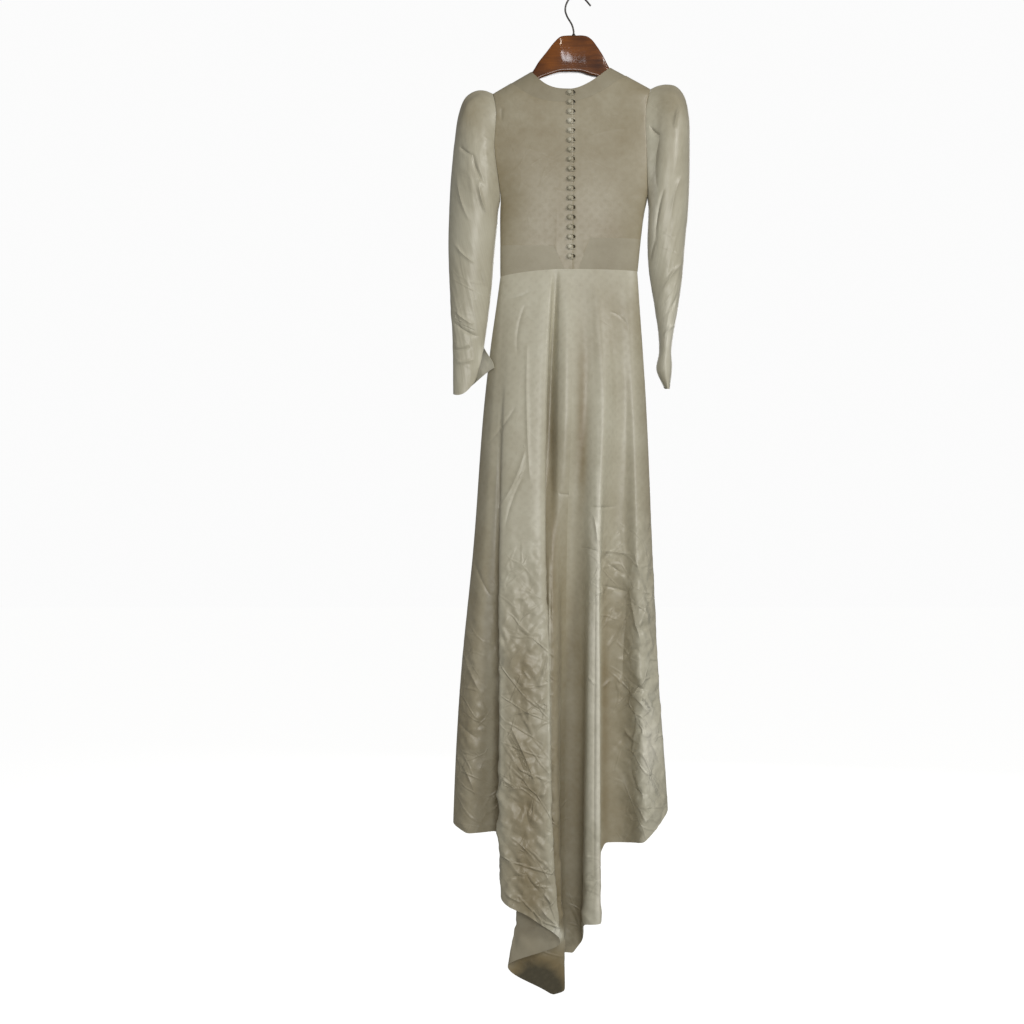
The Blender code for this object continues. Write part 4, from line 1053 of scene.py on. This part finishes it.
def dress_panel(name, node, slot, points, inward, cut, creases, face, sides, materials, rests_on,
                rise=CRUMPLE_RISES["bodice"], seed=1, tone=BODICE_TONE):
    """One sewn panel from a run of columns: creased, crumpled, drawn into its seams, and given its cloth."""
    points, inward = points[:, cut], inward[:, cut]
    shaped, marks = creased(sunk(points, inward, sides), inward, creases, face)
    share = crumple_share(shaped)
    rows = np.arange(len(points))
    edge_rows = np.minimum(rows if "top" in sides else HELD_ROWS, rows[::-1] if "foot" in sides else HELD_ROWS)
    steps = np.arange(points.shape[1])
    edge_columns = np.minimum(steps if "left" in sides else HELD_ROWS,
                              steps[::-1] if "right" in sides else HELD_ROWS)
    held = np.clip(np.minimum(edge_rows[:, None], edge_columns[None, :]) / HELD_FADE, 0, 1)
    shaped = crumpled(shaped, inward, share * held, rise, seed)
    places = sheet_lengths(points) if node.startswith("skirt") else (points[..., 0], -points[..., 2])
    # The tone mark carries each piece's tone with its painted shade and painted light.
    marks.update(crumple=share, tone=toned(shaped, tone, BACK_SHADE_SPOTS if face == BACK else FRONT_SHADE_SPOTS))
    piece = shell(name, shaped, inward, marks, materials, places)
    sewn(piece, node)


def loop_holes(points):
    """Inside each loop the right edge of the opening stands a little way open."""
    x = points[..., 0]
    drop = -points[..., 2]
    near = np.where(x >= OPENING_X - 0.01, np.clip(1 - (x - OPENING_X) / HOLE_REACH, 0, 1) ** 2, 0)
    near[..., :len(x[0]) // 2 - HOLE_COLUMNS] = 0
    pull = sum(np.clip(1 - ((drop - at) / HOLE_HEIGHT) ** 2, 0, 1) for at in button_drops())
    opened = points.copy()
    opened[..., 0] += HOLE_WIDTH * near * pull
    return opened


def underlap(points, inward):
    """The left edge of the opening goes on under the right one, painted with full shade so that it shows dark in
    the loops' small openings.
    """
    extra = [points[:, -1] + inward[:, -1] * depth + np.array([across_by, 0, 0])
             for depth, across_by in UNDERLAP]
    tone = np.full(points.shape[1] + len(extra), BODICE_TONE)
    # Painted shade: the underlap's columns take the darkest tone.
    tone[-len(extra):] = 1.0
    return (np.concatenate([points, np.stack(extra, axis=1)], axis=1),
            np.concatenate([inward] + [inward[:, -1:]] * len(extra), axis=1), tone)


def body_panel(node, points, face, materials, seed, sides=ALL_SIDES, part=slice(None), inward=None, **more):
    """A panel of the bodice, neck band or midriff, named after its node with its side first."""
    kind, side = node.replace("_band", "").split("_", 1)
    slot = "figured_satin" if kind == "bodice" else "plain_satin"
    rests_on = [node.replace(kind, "bodice")] if kind == "midriff" else ["hanger_wood"]
    name = f"back_{kind}_{side[5:]}" if side.startswith("back_") else f"front_{kind}"
    inward = body_inward(points, face) if inward is None else inward
    creases = BODICE_CREASES if kind == "bodice" else []
    dress_panel(name, node, slot, points, inward, part, creases, face, sides, materials, rests_on,
                seed=seed, **more)


def open_backs(kind, points, opening, top, materials, seed):
    """The two back panels that part at the opening: the left one goes on under the right one."""
    inward = body_inward(points, BACK)
    left, left_inward, tone = underlap(points[:, :opening + 1], inward[:, :opening + 1])
    body_panel(kind + "_back_left", left, BACK, materials, seed, top + ("foot", "left"), inward=left_inward,
               tone=tone)
    body_panel(kind + "_back_right", loop_holes(points), BACK, materials, seed + 1,
               top + ("foot", "left", "right"), slice(opening, None), inward)


def dress_bodice(satin, plain, wrong):
    columns = columns_through(back_stops(), BACK_FINE)
    back = face_grid(columns, bodice_rows(columns, MIDRIFF_LEFT, MIDRIFF_RIGHT),
                     lambda x: bodice_top(x, BACK_BAND_DROP), back_bodice_end, BACK)
    open_backs("bodice", back, sum(BACK_FINE[:4]), ("top",), (satin, wrong), 2)
    columns = columns_through(front_stops(), FRONT_FINE)
    front = face_grid(columns, bodice_rows(columns, FRONT_MIDRIFF, FRONT_MIDRIFF),
                      lambda x: bodice_top(x, FRONT_BAND_DROP), lambda x: np.full_like(x, FRONT_MIDRIFF), FRONT)
    body_panel("bodice_front", front, FRONT, (satin, wrong), 4)
    points = band_points(back[0], BACK_NECK_DROP, BACK_FINE, BACK)
    open_backs("neck_band", points, sum(BACK_FINE[1:4]), (), (plain, wrong), 5)
    points = band_points(front[0], FRONT_NECK_DROP, FRONT_FINE, FRONT)
    body_panel("neck_band_front", points, FRONT, (plain, wrong), 7, ALL_SIDES[1:])
    dress_midriff(back, columns, (plain, wrong))


def band_points(edge, middle_drop, counts, face):
    """The neck band: its lower edge is the bodice's own, its upper edge the neckline."""
    edge = edge[counts[0]:len(edge) - counts[-1]]
    lower = np.stack([edge[:, 0], -edge[:, 2]], axis=-1)
    left = lower[:, 0] < OPENING_X
    reach = (lower[:, 0] - OPENING_X) / (np.where(left, BAND_ENDS[0], BAND_ENDS[1]) - OPENING_X)
    x = OPENING_X + (np.where(left, NECK_ENDS[0], NECK_ENDS[1]) - OPENING_X) * reach
    upper = np.stack([x, neck_curve(x, middle_drop, NECK_ENDS)], axis=-1)
    return plane_grid(upper, lower, np.linspace(0, 1, BAND_FINE + 1), face)


def dress_midriff(back, front_columns, materials):
    rows = np.linspace(0, 1, MIDRIFF_FINE + 1)
    left_count = sum(BACK_FINE[:2]) + 1
    right_count = sum(BACK_FINE[-2:]) + 1
    for node, edge, foot, outer, drop in (
            ("midriff_back_left", back[-1, :left_count], MIDRIFF_FEET[0], 0, WAIST_LEFT),
            ("midriff_back_right", back[-1, -right_count:], MIDRIFF_FEET[1], -1, WAIST_RIGHT)):
        upper = np.stack([edge[:, 0], -edge[:, 2]], axis=-1)
        side = float(side_edges(np.float64(drop))[outer])
        corner = upper[-1 - outer, 0]
        x = foot + (side - foot) * (upper[:, 0] - corner) / (upper[outer, 0] - corner)
        points = plane_grid(upper, np.stack([x, waist(x)], axis=-1), rows, BACK)
        body_panel(node, points, BACK, materials, 8, tone=MIDRIFF_TONE)
    points = face_grid(front_columns, rows[:, None], lambda x: np.full_like(x, FRONT_MIDRIFF), waist, FRONT)
    body_panel("midriff_front", points, FRONT, materials, 9, tone=MIDRIFF_TONE)


def even_columns(points, inward, count):
    """Draws fewer columns through a grid, evenly spaced along the cloth near the hem."""
    low = points[int(len(points) * NEAR_HEM)]
    run = np.concatenate([[0], np.cumsum(np.linalg.norm(np.diff(low, axis=0), axis=-1))])
    spots = np.interp(np.linspace(0, run[-1], count + 1), run, np.arange(len(run)))
    index = np.minimum(spots.astype(int), len(run) - 2)
    part = (spots - index)[None, :, None]
    drawn = [grid[:, index] * (1 - part) + grid[:, index + 1] * part for grid in (points, inward)]
    return drawn[0], unit(drawn[1])


def dress_skirt(satin, wrong):
    ring = skirt_grid(np.linspace(0, 1, FINE_ROWS))
    ring_inward = inward_of(ring, wrap=True)
    ring = np.concatenate([ring, ring[:, :1]], axis=1)
    ring_inward = np.concatenate([ring_inward, ring_inward[:, :1]], axis=1)
    back_seam = BACK_SEAM_SPAN * SAMPLES + SAMPLES // 2
    right_seam = (len(FOLDS) - 1) * SAMPLES
    for node, cut, creases, face, rests_on, seed in (
            ("skirt_back_left", slice(0, back_seam + 1), LEFT_BACK_CREASES, BACK, ["midriff_back_left"], 11),
            ("skirt_back_right", slice(back_seam, right_seam + 1), RIGHT_BACK_CREASES, BACK,
             ["midriff_back_right"], 12),
            ("skirt_front", slice(right_seam, None), FRONT_CREASES, FRONT, ["midriff_front"], 13)):
        points, inward = even_columns(ring[:, cut], ring_inward[:, cut], SKIRT_COLUMNS[node])
        # Painted shade: each point of the skirt is browner the deeper it lies behind the fold crests of its row.
        depth = points[..., 1] * -face
        reach = depth - depth.min(axis=1, keepdims=True)
        tone = SKIRT_TONE + SKIRT_FOLD_SHADE * np.clip(reach / FOLD_DEPTH, 0, 1)
        dress_panel(node.replace("skirt_", "") + "_skirt", node, "figured_satin", points, inward, slice(None),
                    creases, face, ("top", "left", "right"), (satin, wrong), rests_on,
                    CRUMPLE_RISES["skirt"], seed, tone)


def finer_rings(points, steps):
    """Adds rows between the rings of a sleeve on a smooth curve."""
    padded = np.concatenate([2 * points[:1] - points[1:2], points, 2 * points[-1:] - points[-2:-1]])
    rows = []
    for index in range(len(points) - 1):
        for step in range(steps):
            rows.append(between(list(padded[index:index + 4]), step / steps))
    rows.append(points[-1])
    return np.array(rows)


def dress_sleeve(node, rings, hand, creases, satin, wrong, seed):
    points = sleeve_points(rings, hand, SLEEVE_ROUND)
    if hand < 0:
        angle = np.linspace(0, 2 * math.pi, SLEEVE_ROUND + 1)
        pull = np.clip(1 - angle / FLAP_TURN, 0, 1) ** 1.5
        edge = np.clip(1 - (2 * math.pi - angle) / PLACKET_TURN, 0, 1)
        for flap in PLACKET_FLAP:
            points[flap.row] += np.outer(pull, (flap.across, flap.out, flap.up))
            points[flap.row, :, 1] -= PLACKET_PART * edge
    points = finer_rings(points, SLEEVE_DOWN)
    from_outer = (1 + np.cos(np.linspace(0, 2 * math.pi, SLEEVE_ROUND + 1))) / 2
    low = np.clip(np.arange(1 - len(points), 1) / (2 * SLEEVE_DOWN) + 1, 0, 1) ** 2
    sag = np.sin(math.pi * from_outer ** CUFF_POWERS[0]).clip(0) ** CUFF_POWERS[1]
    points[..., 2] -= CUFF_CURVE[hand] * low[:, None] * sag
    points[..., 2] += CUFF_LEAN[hand] * low[:, None] * points[..., 1]
    ring = inward_of(points[:, :-1], wrap=True)
    inward = np.concatenate([ring, ring[:, :1]], axis=1)
    shaped, marks = creased(sunk(points, inward, ("top",)), inward, creases, BACK)
    share = crumple_share(shaped)
    held = np.clip(np.arange(len(points)) / SLEEVE_HELD_ROWS, 0, 1)[:, None]
    shaped = crumpled(shaped, inward, share * held, CRUMPLE_RISES["sleeve"], seed)
    shaped[:, -1] = np.where((np.arange(len(points)) <= SLIT_ROW * SLEEVE_DOWN)[:, None] | (hand > 0),
                             shaped[:, 0], shaped[:, -1])
    marks.update(crumple=share, tone=toned(shaped, SLEEVE_TONE, SLEEVE_SHADE_SPOTS))
    piece = shell(node.replace("sleeve_", "") + "_sleeve", shaped, inward, marks, (satin, satin),
                  sheet_lengths(points), closes=True)
    sewn(piece, node)


def merged_turning(name, profile, steps, place, turn):
    """A turned piece: a profile of radius and height, spun, closed, turned and put in its place."""
    mesh = bmesh.new()
    verts = [mesh.verts.new((radius * MM, 0, height * MM)) for radius, height in profile]
    edges = [mesh.edges.new(pair) for pair in zip(verts, verts[1:])]
    bmesh.ops.spin(mesh, geom=verts + edges, cent=(0, 0, 0), axis=(0, 0, 1), angle=2 * math.pi, steps=steps,
                   use_merge=True)
    bmesh.ops.remove_doubles(mesh, verts=mesh.verts, dist=1e-6)
    bmesh.ops.recalc_face_normals(mesh, faces=mesh.faces)
    bmesh.ops.rotate(mesh, verts=mesh.verts, cent=(0, 0, 0), matrix=turn)
    bmesh.ops.translate(mesh, verts=mesh.verts, vec=[value * MM for value in place])
    data = mesh_data(name, mesh)
    data.shade_smooth()
    return put_in(name, data)


def finished(piece, node, material):
    """Puts a hard piece in the place of its node, with its material."""
    piece.data.materials.append(material)
    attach(piece, "root")
    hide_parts(node)


def button_seat(x, drop, radius):
    """Outermost point of the back within a small disc."""
    ring = [(0, 0), (radius, 0), (-radius, 0), (0, radius), (0, -radius)]
    return min(float(body_out(np.float64(x + dx), np.float64(drop + dz), BACK)) for dx, dz in ring)


def add_buttons(satin):
    """Satin-covered buttons: a low dome with the cloth gathered in under its edge."""
    profile = [(0, 0), (SHANK_RADIUS, 0), (SHANK_RADIUS, SHANK_HEIGHT - 0.6)]
    for angle in np.radians(np.linspace(*DOME_ANGLES, DOME_STEPS + 1)):
        height = SHANK_HEIGHT + DOME_LIFT + DOME_HEIGHT * math.sin(angle)
        profile.append((BUTTON_RADIUS * math.cos(angle), height))
    profile[-1] = (0, profile[-1][1])
    out_of_back = Matrix.Rotation(math.radians(90), 3, "X")
    for number, drop in enumerate(button_drops(), start=1):
        place = (BUTTON_X, button_seat(BUTTON_X, drop, SHANK_RADIUS) - SEAM, -drop)
        piece = merged_turning(f"covered_button_{number:02d}", profile, BUTTON_TURNS, place, out_of_back)
        finished(piece, f"button_{number:02d}", satin)


def round_wire(name, routes, radius):
    """Round cord or wire along one or more routes."""
    curve = bpy.data.curves.new(name, "CURVE")
    curve.dimensions = "3D"
    curve.bevel_depth = radius * MM
    curve.bevel_resolution = 4
    curve.use_fill_caps = True
    for route in routes:
        spline = curve.splines.new("POLY")
        spline.points.add(len(route) - 1)
        spots = np.concatenate([np.array(route) * MM, np.ones((len(route), 1))], 1)
        spline.points.foreach_set("co", spots.ravel())
        spline.use_smooth = True
    return put_in(name, curve)


def add_loops(satin):
    """Rouleau loops: each comes out of the right edge, passes round its button's shank and goes back in."""
    root = OPENING_X + LOOP_ROOT
    lift = LOOP_CORD / 2 + SEAM
    routes = []
    for drop in button_drops():
        places = [(root, drop - LOOP_REACH * LOOP_PINCH), (OPENING_X - 1, drop - LOOP_REACH)]
        for angle in np.radians(np.linspace(90, 270, LOOP_STEPS + 1)):
            places.append((BUTTON_X + LOOP_REACH * math.cos(angle), drop - LOOP_REACH * math.sin(angle)))
        places += [(OPENING_X - 1, drop + LOOP_REACH), (root, drop + LOOP_REACH * LOOP_PINCH)]
        routes.append([(x, button_seat(x, at, LOOP_CORD) - lift, -at) for x, at in places])
    finished(round_wire("rouleau_loops", routes, LOOP_CORD / 2), "button_loop_cord", satin)


def bar_section(half, tall, share):
    """Half depth and height round a bar: an oval in the arms, flat-faced with round edges in the boss."""
    reach = half + (HANGER_EDGE - half) * share
    rise = tall + (HANGER_EDGE - tall) * share
    places = []
    for corner in range(4):
        across_by = (half - reach) * (1 if corner in (0, 3) else -1)
        up_by = (tall - rise) * (1 if corner in (0, 1) else -1)
        for step in range(HANGER_CORNER):
            angle = math.pi / 2 * (corner + step / (HANGER_CORNER - 1) * 0.999)
            places.append((across_by + reach * math.cos(angle), up_by + rise * math.sin(angle)))
    return places


def add_hanger(wood):
    """The shaped wooden bar, lofted through its sections on smooth curves, its boss gently bulged."""
    places = [section.x for section in HANGER]
    tops = [section.top or float(shoulder(np.float64(section.x))) + CLOTH + ARM_CLEARANCE
            for section in HANGER]
    boss = [1.0 if section.top else 0.0 for section in HANGER]
    mesh = bmesh.new()
    rings = []
    for x in np.linspace(places[0], places[-1], HANGER_ALONG):
        top, bottom, half = (float(smooth_value(places, column, x)) for column in (
            tops, [section.bottom for section in HANGER], [section.half for section in HANGER]))
        half *= 1 - (0.12 if x < BOSS_CREST else 0.06) * min(1, abs(x - BOSS_CREST) / 60) ** 2
        verts = []
        for y, z in bar_section(half, (bottom - top) / 2, float(np.interp(x, places, boss))):
            verts.append(mesh.verts.new((x * MM, y * MM, (z - (top + bottom) / 2) * MM)))
        rings.append([mesh.edges.new((verts[i - 1], verts[i])) for i in range(len(verts))])
    for first, second in zip(rings, rings[1:]):
        bmesh.ops.bridge_loops(mesh, edges=first + second)
    for ring in (rings[0], rings[-1]):
        bmesh.ops.edgeloop_fill(mesh, edges=ring)
    bmesh.ops.recalc_face_normals(mesh, faces=mesh.faces)
    data = mesh_data("shaped_hanger", mesh)
    data.shade_smooth()
    finished(put_in("shaped_hanger", data), "hanger_wood", wood)


def add_hook(steel):
    foot = min(section.top for section in HANGER if section.top) - SEAM
    height = foot - HOOK_FOOT - SEAM
    profile = [(0, 0), (COLLAR_RADIUS, 0), (COLLAR_RADIUS, height * 0.35), (COLLAR_RADIUS * 0.9, height * 0.5),
               (COLLAR_TOP_RADIUS * 1.1, height * 0.9), (COLLAR_TOP_RADIUS, height), (0, height)]
    collar = merged_turning("hook_ferrule", profile, COLLAR_TURNS, (HOOK_X, 0, -foot), Matrix.Identity(3))
    finished(collar, "hanger_collar", steel)
    bends = np.array(HOOK, dtype=float)
    padded = np.vstack([2 * bends[0] - bends[1], bends, 2 * bends[-1] - bends[-2]])
    route = []
    for index in range(len(bends) - 1):
        for step in range(HOOK_STEPS):
            x, drop = between([row[None, :] for row in padded[index:index + 4]], step / HOOK_STEPS)[0]
            route.append((x, 0.0, -drop))
    route.append((bends[-1][0], 0.0, -bends[-1][1]))
    finished(round_wire("wire_hook", [route], HOOK_WIRE / 2), "hanger_hook", steel)


def soft_light(name, place, aim, size, power, colour, height=None, turn=0.0):
    lamp = bpy.data.lights.new(name, "AREA")
    lamp.shape = "ELLIPSE"
    lamp.size = size
    lamp.size_y = height or size
    lamp.energy = power
    lamp.color = colour
    holder = put_in(name, lamp)
    holder.location = place
    facing = (Vector(aim) - Vector(place)).to_track_quat("-Z", "Y")
    holder.rotation_euler = (facing @ Quaternion((0, 0, 1), math.radians(turn))).to_euler()


def camera_level(tree, lit, seen):
    """One level as a light, another as what the camera sees."""
    rays = add_node(tree, "ShaderNodeLightPath").outputs["Is Camera Ray"]
    return add_node(tree, "ShaderNodeMix", {0: rays, 2: lit, 3: seen}, data_type="FLOAT").outputs[0]


def set_light():
    """A white room with soft window light from ahead and from the upper right."""
    scene = bpy.context.scene
    scene.view_settings.view_transform = "Standard"
    world = bpy.data.worlds.new("white_room")
    world.use_nodes = True
    tree = world.node_tree
    tree.nodes.clear()
    sky = add_node(tree, "ShaderNodeBackground", {"Color": plain_colour("#ffffff"),
                                                  "Strength": camera_level(tree, 0.22, 0.97)})
    add_node(tree, "ShaderNodeOutputWorld", {"Surface": sky.outputs["Background"]})
    scene.world = world
    daylight = (1.0, 0.99, 0.97)
    soft_light("window_right", (2.3, -2.6, 0.9), DRESS_MIDDLE, 0.9, 46, daylight)
    soft_light("window_ahead", (0.2, -3.9, -0.5), DRESS_MIDDLE, 1.6, 50, daylight)
    soft_light("small_window", (-0.3, -2.9, 1.15), HANGER_MIDDLE, 0.14, 1.2, (1.0, 0.9, 0.75))
    soft_light("tall_window", (-0.05, -2.9, 0.68), HANGER_MIDDLE, 0.12, 1.7, (0.97, 0.96, 1.0), 0.42, 35.0)
    soft_light("fill_behind", (0.6, 2.8, -0.2), DRESS_MIDDLE, 2.4, 32, (1.0, 1.0, 1.0))


def set_floor():
    """A large plain pale floor under the hanging dress."""
    mesh = bmesh.new()
    bmesh.ops.create_grid(mesh, x_segments=2, y_segments=2, size=14.0)
    bmesh.ops.translate(mesh, verts=mesh.verts, vec=(0, 0, -FOOT_OF_SCENE * MM))
    data = mesh_data("studio_floor", mesh)
    material, tree, shader = new_material("matt_white_studio_floor")
    set_inputs(tree, shader, {"Base Color": plain_colour("#93938f"), "Roughness": 0.9,
                              "Emission Color": plain_colour("#ffffff"),
                              "Emission Strength": camera_level(tree, 0.06, 0.9)})
    data.materials.append(material)
    put_in("studio_floor", data)


def set_camera():
    lens = bpy.data.cameras.new("front_view")
    lens.sensor_width = 36.0
    lens.lens = CAMERA_LENS
    camera = put_in("front_view", lens)
    camera.location = CAMERA_PLACE
    camera.rotation_euler = (math.radians(90), 0, 0)
    bpy.context.scene.camera = camera


def build_scene():
    set_camera()
    set_light()
    set_floor()
    # Each satin's second colour is the painted shade of its deep folds.
    satin = woven_satin("figured_ivory_satin", "#c6c2ae", "#877858", 0.36, 0.16)
    plain = woven_satin("plain_ivory_satin", "#b8b29d", "#857a60", 0.5, 0.0)
    covered = woven_satin("button_satin", "#a8a28c", "#8b8067", 0.45, 0.0)
    wrong = satin_back("matte_wrong_side", "#b4ae99")
    wood = varnished_beech("varnished_beech")
    steel = drawn_steel("drawn_steel_wire")
    dress_bodice(satin, plain, wrong)
    dress_skirt(satin, wrong)
    dress_sleeve("sleeve_left", LEFT_SLEEVE, -1, LEFT_SLEEVE_CREASES, satin, wrong, 21)
    dress_sleeve("sleeve_right", RIGHT_SLEEVE, 1, RIGHT_SLEEVE_CREASES, satin, wrong, 22)
    add_buttons(covered)
    add_loops(covered)
    add_hanger(wood)
    add_hook(steel)


build_scene()
